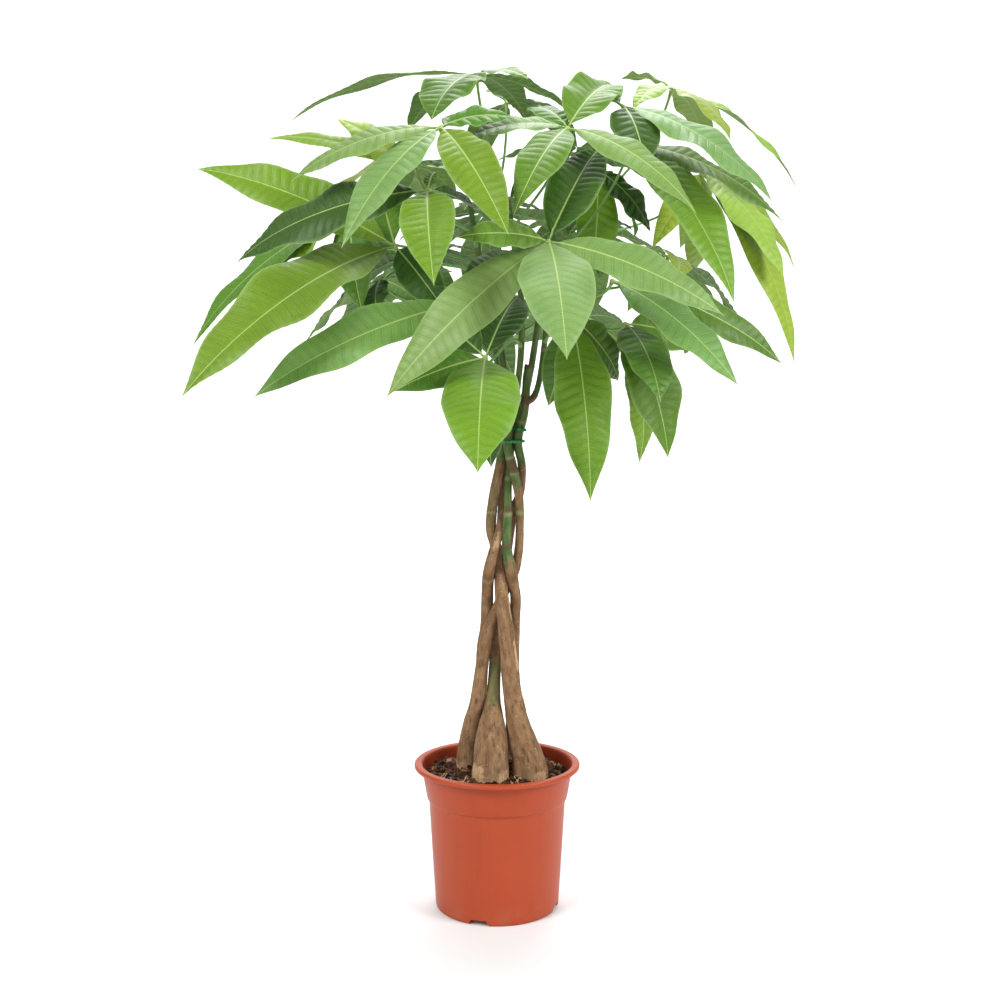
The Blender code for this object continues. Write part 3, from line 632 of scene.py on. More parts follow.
@dataclass(frozen=True)
class PlasticFinish(Finish):
    """Terracotta-coloured moulded plastic: satin, faintly streaked down its sides and dusty at the foot."""

    colour: Colour = (0.360, 0.052, 0.014)
    deep: Colour = (0.260, 0.032, 0.008)
    dust: Colour = (0.30, 0.13, 0.08)
    roughness: float = 0.42
    specular: float = 0.28

    def make(self, mottle: bpy.types.NodeTree, specks: bpy.types.NodeTree) -> bpy.types.Material:
        """Makes the material from the shared groups.

        Args:
            mottle: the shared mottling group.
            specks: the shared spots group.

        Returns:
            The material.
        """
        made, bench, shader, place = self.start("pot_plastic", self.roughness)
        base = bench.group(mottle, {"Colour": self.colour, "Place": place, "Scale": 9.0, "Share": 0.05})
        streaks = bench.grain(bench.stretch(place, (1.0, 1.0, 0.09)), 160.0, 4.0, 0.6)
        share = bench.window(streaks, 0.45, 0.75, 0.0, 0.16)
        streaked = bench.blend(share, base.outputs["Colour"], self.deep)
        height = bench.add("SeparateXYZ", {"Vector": place}).outputs[2]
        low = bench.window(height, 0.0, 0.035, 0.30, 0.0)
        cloud = bench.window(bench.grain(place, 60.0, 5.0, 0.65), 0.42, 0.72)
        dusty = bench.blend(bench.math("MULTIPLY", low, cloud), streaked, self.dust)
        spots = bench.group(specks, {"Place": place, "Scale": 150.0, "Size": 0.10}).outputs["Mask"]
        colour = bench.blend(bench.math("MULTIPLY", spots, 0.5), dusty, self.dust)
        bench.feed(shader.inputs["Base Color"], colour)
        rough = bench.math("ADD", bench.math("MULTIPLY", base.outputs["Cloud"], 0.22), self.roughness - 0.11)
        bench.feed(shader.inputs["Roughness"], rough)
        skin = bench.grain(place, 1500.0, 2.0, 0.5)
        relief = bench.math("ADD", bench.math("MULTIPLY", skin, 0.35), bench.math("MULTIPLY", streaks, 0.65))
        self.relief(bench, shader, relief, 0.10, 0.0006)
        shader.inputs["Specular IOR Level"].default_value = self.specular
        return made


@dataclass(frozen=True)
class SoilFinish(Finish):
    """Damp peat and bark: dark brown grains of several sizes, matt."""

    dark: Colour = (0.014, 0.006, 0.004)
    warm: Colour = (0.080, 0.031, 0.014)
    fibre: Colour = (0.16, 0.075, 0.036)
    specular: float = 0.15

    def make(self, mottle: bpy.types.NodeTree, specks: bpy.types.NodeTree) -> bpy.types.Material:
        """Makes the material from the shared groups.

        Args:
            mottle: the shared mottling group.
            specks: the shared spots group.

        Returns:
            The material.
        """
        made, bench, shader, place = self.start("soil_crumb", 0.92)
        coarse = bench.window(bench.grain(place, 170.0, 6.0, 0.7), 0.35, 0.68)
        crumbs = bench.blend(coarse, self.dark, self.warm)
        base = bench.group(mottle, {"Colour": crumbs, "Place": place, "Scale": 420.0, "Share": 0.35})
        spots = bench.group(specks, {"Place": place, "Scale": 330.0, "Size": 0.42}).outputs["Mask"]
        colour = bench.blend(bench.math("MULTIPLY", spots, 0.6), base.outputs["Colour"], self.fibre)
        bench.feed(shader.inputs["Base Color"], colour)
        relief = bench.math("ADD", coarse, base.outputs["Cloud"])
        self.relief(bench, shader, relief, 0.9, 0.0016)
        shader.inputs["Specular IOR Level"].default_value = self.specular
        return made


@dataclass(frozen=True)
class ChipFinish(Finish):
    """Bark chips and crumbs: each has its own colour, with grain along it and a damp gloss on some."""

    pit: Colour = (0.01, 0.006, 0.004)
    gloss: float = 0.60
    dull: float = 0.88
    specular: float = 0.2

    def make(self, mottle: bpy.types.NodeTree, specks: bpy.types.NodeTree) -> bpy.types.Material:
        """Makes the material from the shared groups.

        Args:
            mottle: the shared mottling group.
            specks: the shared spots group.

        Returns:
            The material.
        """
        made, bench, shader, place = self.start("bark_chips", self.dull)
        hue = bench.attribute("hue")
        settings = {"Colour": hue.outputs["Color"], "Place": place, "Scale": 350.0, "Share": 0.30}
        base = bench.group(mottle, settings)
        spots = bench.group(specks, {"Place": place, "Scale": 700.0, "Size": 0.4}).outputs["Mask"]
        darker = bench.blend(bench.math("MULTIPLY", spots, 0.55), base.outputs["Colour"], self.pit)
        bench.feed(shader.inputs["Base Color"], darker)
        damp = bench.math("MULTIPLY", hue.outputs["Alpha"], self.gloss)
        bench.feed(shader.inputs["Roughness"], bench.math("SUBTRACT", self.dull, damp))
        self.relief(bench, shader, bench.grain(place, 1300.0, 4.0, 0.6), 0.7, 0.0008)
        shader.inputs["Specular IOR Level"].default_value = self.specular
        return made


@dataclass(frozen=True)
class BarkFinish(Finish):
    """Bark that is grey-brown and fissured where old, green and smooth where young, and pale where torn."""

    brown: Colour = (0.150, 0.078, 0.034)
    grey: Colour = (0.285, 0.172, 0.088)
    crack: Colour = (0.075, 0.042, 0.023)
    green: Colour = (0.052, 0.095, 0.022)
    green_light: Colour = (0.115, 0.165, 0.048)
    torn: Colour = (0.620, 0.400, 0.225)
    scar: Colour = (0.230, 0.215, 0.110)
    node: Colour = (0.110, 0.052, 0.026)
    specular: float = 0.25

    def make(self, mottle: bpy.types.NodeTree, specks: bpy.types.NodeTree) -> bpy.types.Material:
        """Makes the material from the shared groups.

        Args:
            mottle: the shared mottling group.
            specks: the shared spots group.

        Returns:
            The material.
        """
        made, bench, shader, _ = self.start("stem_bark", 0.8)
        run = bench.attribute("grain").outputs["Vector"]
        zone = bench.attribute("zone")
        parts = bench.add("SeparateColor", {"Color": zone.outputs["Color"]})
        young, bare, pale = parts.outputs[0], parts.outputs[1], parts.outputs[2]
        cloud = bench.window(bench.grain(bench.stretch(run, (1.0, 1.0, 0.45)), 130.0, 4.0, 0.6), 0.28, 0.74)
        old = bench.blend(cloud, self.brown, self.grey)
        fissure = bench.grain(bench.stretch(run, (1.0, 1.0, 0.16)), 520.0, 5.0, 0.62)
        cracked = bench.window(fissure, 0.30, 0.44, 1.0, 0.0)
        old = bench.blend(bench.math("MULTIPLY", cracked, 0.75), old, self.crack)
        settings = {"Place": bench.stretch(run, (1.0, 1.0, 1.9)), "Scale": 300.0, "Size": 0.30}
        pores = bench.group(specks, settings).outputs["Mask"]
        old = bench.blend(bench.math("MULTIPLY", pores, 0.55), old, self.torn)
        shade = bench.window(bench.grain(bench.stretch(run, (1.0, 1.0, 0.25)), 210.0, 3.0), 0.35, 0.7)
        fresh = bench.blend(shade, self.green, self.green_light)
        settings = {"Place": bench.stretch(run, (1.0, 1.0, 0.45)), "Scale": 420.0, "Size": 0.33}
        fleck = bench.group(specks, settings).outputs["Mask"]
        fresh = bench.blend(bench.math("MULTIPLY", fleck, 0.6), fresh, self.brown)
        skin = bench.blend(young, old, fresh)
        fibre = bench.window(bench.grain(bench.stretch(run, (1.0, 1.0, 0.08)), 900.0, 4.0, 0.6), 0.3, 0.62)
        wood = bench.blend(bench.window(fibre, 0.0, 0.6, 0.45, 1.0), self.brown, self.torn)
        skin = bench.blend(bare, skin, wood)
        skin = bench.blend(pale, skin, self.scar)
        skin = bench.blend(zone.outputs["Alpha"], skin, self.node)
        base = bench.group(mottle, {"Colour": skin, "Place": run, "Scale": 260.0, "Share": 0.12})
        bench.feed(shader.inputs["Base Color"], base.outputs["Colour"])
        bench.feed(shader.inputs["Roughness"], bench.window(young, 0.0, 1.0, 0.84, 0.46))
        aged, whole = (bench.math("SUBTRACT", 1.0, part) for part in (young, cracked))
        rough_part = bench.math("MULTIPLY", aged, whole)
        fine = bench.math("MULTIPLY", bench.grain(run, 1400.0, 4.0, 0.6), 0.35)
        relief = bench.math("ADD", bench.math("ADD", rough_part, fine), bench.math("MULTIPLY", bare, fibre))
        self.relief(bench, shader, relief, 0.75, 0.0011)
        shader.inputs["Specular IOR Level"].default_value = self.specular
        return made


@dataclass(frozen=True)
class LeafFinish(Finish):
    """A leaf blade: its own green, a pale midrib, sunken side veins with a fine net and painted shade in the dips
    along them, and satin wax.
    """

    name: str
    rib: Colour = (0.34, 0.46, 0.13)
    vein_gain: Colour = (1.55, 1.42, 1.35)
    # painted shade: the colour factor for the dips along the side veins
    valley_shade_gain: Colour = (0.74, 0.80, 0.72)
    underside: Colour = (0.20, 0.33, 0.11)
    spot: Colour = (0.16, 0.12, 0.03)
    roughness: float = 0.42
    specular: float = 0.30

    def make(self, mottle: bpy.types.NodeTree, specks: bpy.types.NodeTree) -> bpy.types.Material:
        """Makes the material from the shared groups.

        Args:
            mottle: the shared mottling group.
            specks: the shared spots group.

        Returns:
            The material.
        """
        made, bench, shader, place = self.start(self.name, self.roughness)
        hue = bench.attribute("hue")
        blade = bench.attribute("blade")
        parts = bench.add("SeparateColor", {"Color": blade.outputs["Color"]})
        side, length, phase = parts.outputs[0], parts.outputs[1], parts.outputs[2]
        under = blade.outputs["Alpha"]
        off_rib = hue.outputs["Alpha"]
        settings = {"Colour": hue.outputs["Color"], "Place": place, "Scale": 38.0, "Share": 0.13}
        base = bench.group(mottle, settings)
        fraction = bench.math("FRACT", phase)
        from_vein = bench.math("ABSOLUTE", bench.math("SUBTRACT", fraction, 0.5))
        vein = bench.window(from_vein, 0.44, 0.49)
        fading = bench.window(side, 0.55, 1.0, 1.0, 0.25)
        vein = bench.math("MULTIPLY", vein, fading)
        # painted shade: the colour darkens towards each side vein, where the quilted blade dips
        valley_shade_mask = bench.window(from_vein, 0.18, 0.5)
        paler = bench.blend(1.0, base.outputs["Colour"], self.vein_gain, "MULTIPLY")
        paler = bench.blend(0.22, paler, self.rib)
        darker = bench.blend(1.0, base.outputs["Colour"], self.valley_shade_gain, "MULTIPLY")
        colour = bench.blend(bench.math("MULTIPLY", valley_shade_mask, 0.75), base.outputs["Colour"], darker)
        cells = bench.add("TexVoronoi", {"Vector": place, "Scale": 420.0}, feature="DISTANCE_TO_EDGE")
        net = cells.outputs["Distance"]
        mesh_line = bench.window(net, 0.0, 0.09, 1.0, 0.0)
        colour = bench.blend(bench.math("MULTIPLY", mesh_line, 0.18), colour, paler)
        colour = bench.blend(bench.math("MULTIPLY", vein, 0.50), colour, paler)
        back = bench.blend(0.45, base.outputs["Colour"], self.underside)
        back = bench.blend(bench.math("MULTIPLY", vein, 0.5), back, self.rib)
        colour = bench.blend(under, colour, back)
        rim = bench.window(side, 0.965, 1.0, 0.0, 0.5)
        colour = bench.blend(rim, colour, self.rib)
        width = bench.window(length, 0.0, 1.0, 0.90, 0.34)
        on_rib = bench.window(bench.math("DIVIDE", off_rib, width), 0.55, 1.25, 1.0, 0.0)
        colour = bench.blend(bench.math("MULTIPLY", on_rib, 0.9), colour, self.rib)
        spots = bench.group(specks, {"Place": place, "Scale": 95.0, "Size": 0.075}).outputs["Mask"]
        colour = bench.blend(bench.math("MULTIPLY", spots, 0.5), colour, self.spot)
        bench.feed(shader.inputs["Base Color"], colour)
        wax = bench.math("ADD", bench.math("MULTIPLY", base.outputs["Cloud"], 0.16), self.roughness - 0.08)
        wax = bench.math("ADD", wax, bench.math("MULTIPLY", under, 0.22), clamp=True)
        bench.feed(shader.inputs["Roughness"], wax)
        deepest = bench.math("MAXIMUM", vein, bench.math("MULTIPLY", mesh_line, 0.28))
        dip = bench.math("MULTIPLY", deepest, -1.0)
        turned = bench.math("SUBTRACT", 1.0, bench.math("MULTIPLY", under, 2.0))
        relief = bench.math("MULTIPLY", dip, turned)
        relief = bench.math("ADD", relief, bench.math("MULTIPLY", bench.grain(place, 900.0, 2.0), 0.2))
        self.relief(bench, shader, relief, 0.45, 0.0006)
        shader.inputs["Specular IOR Level"].default_value = self.specular
        return made


@dataclass(frozen=True)
class StalkFinish(Finish):
    """Leaf stalks and hubs: smooth green with fine lengthwise streaks, yellower where the leaflets meet."""

    streak: Colour = (0.085, 0.200, 0.040)
    spot: Colour = (0.3, 0.4, 0.15)

    def make(self, mottle: bpy.types.NodeTree, specks: bpy.types.NodeTree) -> bpy.types.Material:
        """Makes the material from the shared groups.

        Args:
            mottle: the shared mottling group.
            specks: the shared spots group.

        Returns:
            The material.
        """
        made, bench, shader, place = self.start("leaf_stalk", 0.45)
        hue = bench.attribute("hue").outputs["Color"]
        lines = bench.window(bench.grain(place, 700.0, 3.0), 0.4, 0.65)
        colour = bench.blend(bench.math("MULTIPLY", lines, 0.4), hue, self.streak)
        base = bench.group(mottle, {"Colour": colour, "Place": place, "Scale": 90.0, "Share": 0.14})
        spots = bench.group(specks, {"Place": place, "Scale": 900.0, "Size": 0.35}).outputs["Mask"]
        colour = bench.blend(bench.math("MULTIPLY", spots, 0.3), base.outputs["Colour"], self.spot)
        bench.feed(shader.inputs["Base Color"], colour)
        self.relief(bench, shader, lines, 0.3, 0.0003)
        return made


@dataclass(frozen=True)
class WireFinish(Finish):
    """Green plastic-coated wire, glossy, with dull rubbed places."""

    colour: Colour = (0.008, 0.170, 0.045)
    rubbed: Colour = (0.03, 0.34, 0.12)

    def make(self, mottle: bpy.types.NodeTree, specks: bpy.types.NodeTree) -> bpy.types.Material:
        """Makes the material from the shared groups."""
        made, bench, shader, place = self.start("tie_coating", 0.28)
        base = bench.group(mottle, {"Colour": self.colour, "Place": place, "Scale": 220.0, "Share": 0.2})
        worn = bench.window(bench.grain(place, 600.0, 3.0), 0.52, 0.7)
        bench.feed(shader.inputs["Base Color"], bench.blend(worn, base.outputs["Colour"], self.rubbed))
        bench.feed(shader.inputs["Roughness"], bench.math("ADD", bench.math("MULTIPLY", worn, 0.3), 0.25))
        spots = bench.group(specks, {"Place": place, "Scale": 1200.0, "Size": 0.3}).outputs["Mask"]
        self.relief(bench, shader, spots, 0.2, 0.0002)
        return made


@dataclass(frozen=True)
class FloorFinish(Finish):
    """A plain pale studio floor with faint clouds in its paint."""

    colour: Colour = (0.76, 0.76, 0.76)
    cloud: Colour = (0.74, 0.74, 0.74)

    def make(self) -> bpy.types.Material:
        """Makes the material.

        Returns:
            The material.
        """
        made, bench, shader, place = self.start("studio_floor", 0.9)
        soft = bench.window(bench.grain(place, 3.0, 2.0), 0.3, 0.7, 0.0, 0.03)
        bench.feed(shader.inputs["Base Color"], bench.blend(soft, self.colour, self.cloud))
        shader.inputs["Specular IOR Level"].default_value = 0.1
        return made


# ---------------------------------------------------------------- pot and soil


@dataclass
class Pot:
    """The plastic pot: one turned wall with a stepped collar and a rolled lip, notched at the foot."""

    finish: PlasticFinish
    base_radius: float = 63.4 * MM
    rim_radius: float = 85 * MM
    height: float = 150 * MM
    wall: float = 1.4 * MM
    foot: float = 6 * MM
    floor: float = 2 * MM
    pad: float = 30 * MM
    notch_turn: float = math.radians(-107)
    notch_width: float = 18 * MM
    notches: int = 4
    sides: int = 288

    def profile(self) -> Array:
        """Radius and height of the section's corners: under the floor, up the outside and down the inside.

        Returns:
            Radius and height of each corner.
        """
        inner = self.base_radius - self.wall
        outside = [
            (0, 0), (self.pad - 2 * MM, 0), (self.pad, 2 * MM), (self.pad + 2 * MM, self.foot),
            (53 * MM, self.foot),
            (54.5 * MM, 1 * MM), (55.5 * MM, 0), (60.5 * MM, 0), (62.9 * MM, 0.5 * MM),
            (self.base_radius + 0.2 * MM, 3.2 * MM), (self.base_radius + 0.6 * MM, 10 * MM),
            (67.1 * MM, 60 * MM), (70.2 * MM, 112.6 * MM), (72.1 * MM, 114.0 * MM), (74.6 * MM, 128 * MM),
            (77.2 * MM, 143.6 * MM), (78.2 * MM, 144.7 * MM), (83.4 * MM, 144.8 * MM),
            (self.rim_radius, 145.9 * MM), (self.rim_radius, 148.9 * MM), (83.8 * MM, self.height),
        ]
        inside = [
            (79.0 * MM, self.height), (77.2 * MM, 149.2 * MM), (76.2 * MM, 146.4 * MM),
            (75.9 * MM, 143.8 * MM),
            (70.9 * MM, 114.6 * MM), (68.9 * MM, 112.4 * MM), (inner + 0.6 * MM, self.foot + 5 * MM),
            (inner - 2 * MM, self.foot + self.floor), (self.pad + 1 * MM, self.foot + self.floor),
            (self.pad - 3 * MM, self.floor), (0, self.floor),
        ]
        return rounded(np.array(outside + inside), 1.6 * MM)

    def notched(self, points: Array) -> Array:
        """Lifts the foot ring to the floor's height inside each notch.

        A point's turn is measured from the nearest notch, and times its radius it is its distance from
        the notch's middle. Inside half the notch's width, a height under the foot's becomes the foot's,
        less 0.4 mm.

        Args:
            points: the pot's points.

        Returns:
            The points after the notches.
        """
        radius = np.hypot(points[:, 0], points[:, 1])
        step = 2 * math.pi / self.notches
        turn = np.arctan2(points[:, 1], points[:, 0]) - self.notch_turn
        turn = (turn + step / 2) % step - step / 2
        half = self.notch_width / 2
        inside = 1 - smooth_step(half - 0.5 * MM, half + 0.5 * MM, np.abs(turn) * radius)
        inside *= radius > self.pad + 12 * MM
        lifted = np.maximum(points[:, 2], (self.foot - 0.4 * MM) * inside)
        return np.column_stack([points[:, :2], np.where(points[:, 2] < self.foot, lifted, points[:, 2])])

    def build(self, mottle: bpy.types.NodeTree, specks: bpy.types.NodeTree) -> None:
        """Makes the pot.

        Args:
            mottle: the shared mottling group.
            specks: the shared spots group.
        """
        surface = lathe(self.profile(), self.sides)
        surface.points = self.notched(surface.points)
        piece = make_piece("pot_shell", [surface], [self.finish.make(mottle, specks)])
        settle(piece, "terracotta_plastic", "pot")


@dataclass
class Soil:
    """The soil: a lumpy mound that fills the pot, with bark chips, crumbs and thin roots on it."""

    finish: SoilFinish
    chips: ChipFinish
    feet: list[Array]
    top: float = 143.5 * MM
    edge: float = 136 * MM
    edge_radius: float = 73.6 * MM
    rings: int = 90
    sides: int = 220
    chip_count: int = 620
    crumb_count: int = 2600
    wet_count: int = 16
    wet_place: tuple[float, float] = (-0.9, -5.7)
    wet_spread: tuple[float, float] = (1.0, 0.35)
    black: Colour = (0.014, 0.007, 0.004)
    brown: Colour = (0.160, 0.058, 0.024)
    straw: Colour = (0.32, 0.16, 0.08)
    root: Colour = (0.50, 0.33, 0.18)
    wet: Colour = (0.006, 0.006, 0.007)
    pale_share: float = 0.07
    damp_share: float = 0.25
    seed: int = 11

    def level(self, radius: Array) -> Array:
        """The mound's height at a distance from the pot's axis, between heights at set distances.

        Args:
            radius: distances in metres.

        Returns:
            Heights in metres.
        """
        places = np.array((0.0, 24, 48, 66, 73.8)) * MM
        heights = np.array((self.top, self.top, self.top - 1.6 * MM, self.edge + 2.4 * MM, self.edge))
        return np.interp(radius, places, heights)

    def lumps(self, points: Array) -> Array:
        """How far the surface stands off the mound: three sizes of noise added together."""
        sizes = ((1.5, 75, 3), (0.9, 210, 4), (0.45, 560, 5))
        return sum(height * MM * noise(points, scale, seed) for height, scale, seed in sizes)

    def ground(self, flat: Array) -> Array:
        """The surface's height over places given by x and y.

        Args:
            flat: the places.

        Returns:
            Heights in metres.
        """
        points = np.column_stack([flat, np.zeros(len(flat))])
        return self.level(np.hypot(flat[:, 0], flat[:, 1])) + self.lumps(points)

    def build_mound(self) -> Surface:
        """The mound as a lathe from its bottom to its middle, its upper part moved by the lumps.

        Returns:
            The mound.
        """
        side = np.array([
            (0, 2.4), (26, 2.4), (29.4, 8.4), (58.8, 8.4), (61.4, 11), (64.8, 60), (68.2, 112.4),
            (70.3, 115.2), (73.4, 133.5),
        ]) * MM
        radius = np.linspace(self.edge_radius, 0, self.rings)
        upper = np.column_stack([radius, self.level(radius)])
        surface = lathe(np.vstack([side, upper]), self.sides)
        points = surface.points
        lift = smooth_step(self.edge - 2.5 * MM, self.edge, points[:, 2])
        flat = np.column_stack([points[:, :2], np.zeros(len(points))])
        surface.points = points + np.outer(lift * self.lumps(flat), (0, 0, 1))
        return surface

    def scatter(self, random: np.random.Generator, count: int, spread: float) -> Array:
        """Places on the soil, evenly spread over its disc and outside the stems' feet.

        Args:
            random: the source of numbers.
            count: how many places are tried.
            spread: how near the rim they come, as a share of the radius.

        Returns:
            Rows of x and y.
        """
        radius = self.edge_radius * spread * np.sqrt(random.random(count))
        turn = random.random(count) * 2 * math.pi
        flat = np.column_stack([radius * np.cos(turn), radius * np.sin(turn)])
        keep = np.ones(count, bool)
        for foot in self.feet:
            keep &= np.hypot(*(flat - foot[:2]).T) > foot[2] * 0.98
        return flat[keep]

    def chunks(
        self, random: np.random.Generator, flat: Array, sizes: Array, hues: Array, sink: float
    ) -> Surface:
        """Many small angular lumps in one surface.

        Each is the cube of 26 points at -1, 0 and 1, drawn towards a ball, scaled along its own three axes,
        dented point by point, turned by a random rotation and set on the soil.

        Args:
            random: the source of numbers.
            flat: a place for each lump.
            sizes: three half-sizes for each lump.
            hues: a colour and gloss for each lump.
            sink: how deep each lies, as a share of its smallest half-size.

        Returns:
            All lumps as one surface with their colours.
        """
        template, faces = cube_of_26()
        count = len(flat)
        ball = unit(template) * 1.25
        blocky = random.uniform(0.25, 0.8, (count, 1, 1))
        shape = template[None] * blocky + ball[None] * (1 - blocky)
        shape = shape * random.uniform(0.78, 1.18, (count, len(template), 1)) * sizes[:, None]
        tilt = random.normal(0, 0.42, (count, 2))
        spin = random.random(count) * 2 * math.pi
        shape = spun(shape, np.array((0.0, 0, 1)), spin[:, None, None])
        shape = spun(shape, np.array((1.0, 0, 0)), tilt[:, :1, None])
        shape = spun(shape, np.array((0.0, 1, 0)), tilt[:, 1:, None])
        height = self.ground(flat) + sizes[:, 2] * (1 - sink)
        shape += np.column_stack([flat, height])[:, None]
        quads = faces[None] + (np.arange(count) * len(template))[:, None, None]
        surface = Surface(shape.reshape(-1, 3), quads.reshape(-1, 4))
        return surface.with_values(hue=np.repeat(hues, len(template), axis=0))

    def hues(self, random: np.random.Generator, count: int) -> Array:
        """A colour and gloss for each lump: black-brown to brown, a few tan, a damp gloss on the darkest.

        Args:
            random: the random draws.
            count: how many lumps.

        Returns:
            Four numbers for each lump.
        """
        shares = random.random(count) ** 1.7
        dark, warm, tan = (np.array(c) for c in (self.black, self.brown, self.straw))
        colours = dark + (warm - dark) * shares[:, None]
        pale = random.random(count) < self.pale_share
        colours[pale] = tan * random.uniform(0.5, 1.1, (pale.sum(), 1))
        gloss = np.where(shares < self.damp_share, random.random(count), 0.0)
        return np.column_stack([colours, gloss])

    def build_roots(self, random: np.random.Generator) -> list[Surface]:
        """Thin roots: smooth curves through points that wander over the soil, rising and dipping a little.

        Args:
            random: the random draws.

        Returns:
            The roots.
        """
        starts = (
            (-2.7, -4.6, 190), (-2.9, -4.2, 120), (-2.5, -5.0, 240), (-3.0, -3.9, 170),
            (1.4, -4.7, 340), (1.6, -5.0, 20), (3.4, -4.5, 250), (4.6, -4.0, 300),
            (2.4, -4.9, 200), (-4.6, -4.0, 250), (-5.3, -2.2, 200), (5.4, 1.4, 30),
        )
        roots = []
        for x, y, heading in starts:
            turn = np.radians(heading) + np.cumsum(random.normal(0, 0.75, 7))
            steps = np.column_stack([np.cos(turn), np.sin(turn)]) * random.uniform(1.6, 3.6, (7, 1)) * MM
            flat = np.vstack([[0, 0], np.cumsum(steps, axis=0)]) + np.array((x, y)) * CM
            flat *= np.minimum(1.0, 70 * MM / np.maximum(np.hypot(*flat.T), 1e-6))[:, None]
            rise = np.abs(random.normal(0, 2.0, len(flat))) * MM + 1.2 * MM
            centres = route_through(np.column_stack([flat, self.ground(flat) + rise]), 56)
            radii = np.linspace(0.62, 0.28, 56) * MM * (1 + 0.15 * noise(centres, 900, 8))
            tone = np.array(self.root) * random.uniform(0.6, 1.1)
            roots.append(swept(centres, radii, 7, np.array((0.31, 0.17, 0.94))).with_values(hue=(*tone, 0.1)))
        return roots

    def build(self, mottle: bpy.types.NodeTree, specks: bpy.types.NodeTree) -> None:
        """Makes the mound, the chips, the wet chips in front, the crumbs and the roots.

        Args:
            mottle: the shared mottling group.
            specks: the shared spots group.
        """
        random = np.random.default_rng(self.seed)
        piece = make_piece("soil_mound", [self.build_mound()], [self.finish.make(mottle, specks)])
        settle(piece, "bark_soil", "soil")
        look = self.chips.make(mottle, specks)
        flat = self.scatter(random, self.chip_count, 0.95)
        sizes = random.uniform(0.55, 1.0, (len(flat), 3)) * np.array((5.2, 2.6, 1.3)) * MM
        sizes *= random.uniform(0.55, 1.35, (len(flat), 1))
        chips = self.chunks(random, flat, sizes, self.hues(random, len(flat)), 0.25)
        settle(make_piece("soil_chips", [chips], [look], smooth=False), "bark_soil")
        spread = random.normal(0, 1, (self.wet_count, 2)) * np.array(self.wet_spread) * CM
        flat = np.array(self.wet_place) * CM + spread
        sizes = random.uniform(0.6, 1.0, (self.wet_count, 3)) * np.array((5.0, 2.2, 1.2)) * MM
        wet = np.tile((*self.wet, 1.0), (self.wet_count, 1))
        pieces = self.chunks(random, flat, sizes, wet, -0.3)
        settle(make_piece("soil_wet_chips", [pieces], [look], smooth=False), "bark_soil")
        flat = self.scatter(random, self.crumb_count, 0.985)
        sizes = random.uniform(0.5, 1.0, (len(flat), 3)) * np.array((1.3, 1.0, 0.8)) * MM
        crumbs = self.chunks(random, flat, sizes, self.hues(random, len(flat)), 0.35)
        settle(make_piece("soil_crumbs", [crumbs], [look], smooth=False), "bark_soil")
        settle(make_piece("soil_roots", self.build_roots(random), [look]), "bark_soil")


def cube_of_26() -> tuple[Array, Array]:
    """The points of a cube at -1, 0 and 1 on its faces, and its 24 outward quads.

    Returns:
        The 26 points, and the quads as numbers of points.
    """
    grid = np.array(list(itertools.product((-1, 0, 1), repeat=3)))
    points = grid[np.abs(grid).max(axis=1) == 1]
    number = {tuple(point): i for i, point in enumerate(points)}
    quads = []
    for axis, side in itertools.product(range(3), (-1, 1)):
        one, other = (axis + 1) % 3, (axis + 2) % 3
        for a, b in itertools.product((-1, 0), repeat=2):
            corners = []
            for da, db in ((0, 0), (1, 0), (1, 1), (0, 1)):
                corner = [0, 0, 0]
                corner[axis], corner[one], corner[other] = side, a + da, b + db
                corners.append(number[tuple(corner)])
            quads.append(corners if side > 0 else corners[::-1])
    return points.astype(float), np.array(quads)


# ---------------------------------------------------------------- stems


class Zone(Enum):
    """A kind of patch on a stem, by its place in the zone values."""

    GREEN = 0
    TORN = 1
    SCAR = 2
    NODE = 3


@dataclass(frozen=True)
class Band:
    """A patch on a stem between two heights: all round, or about one turn."""

    zone: Zone
    start: float
    end: float
    strength: float = 1.0
    turn: float | None = None
    spread: float = 60.0


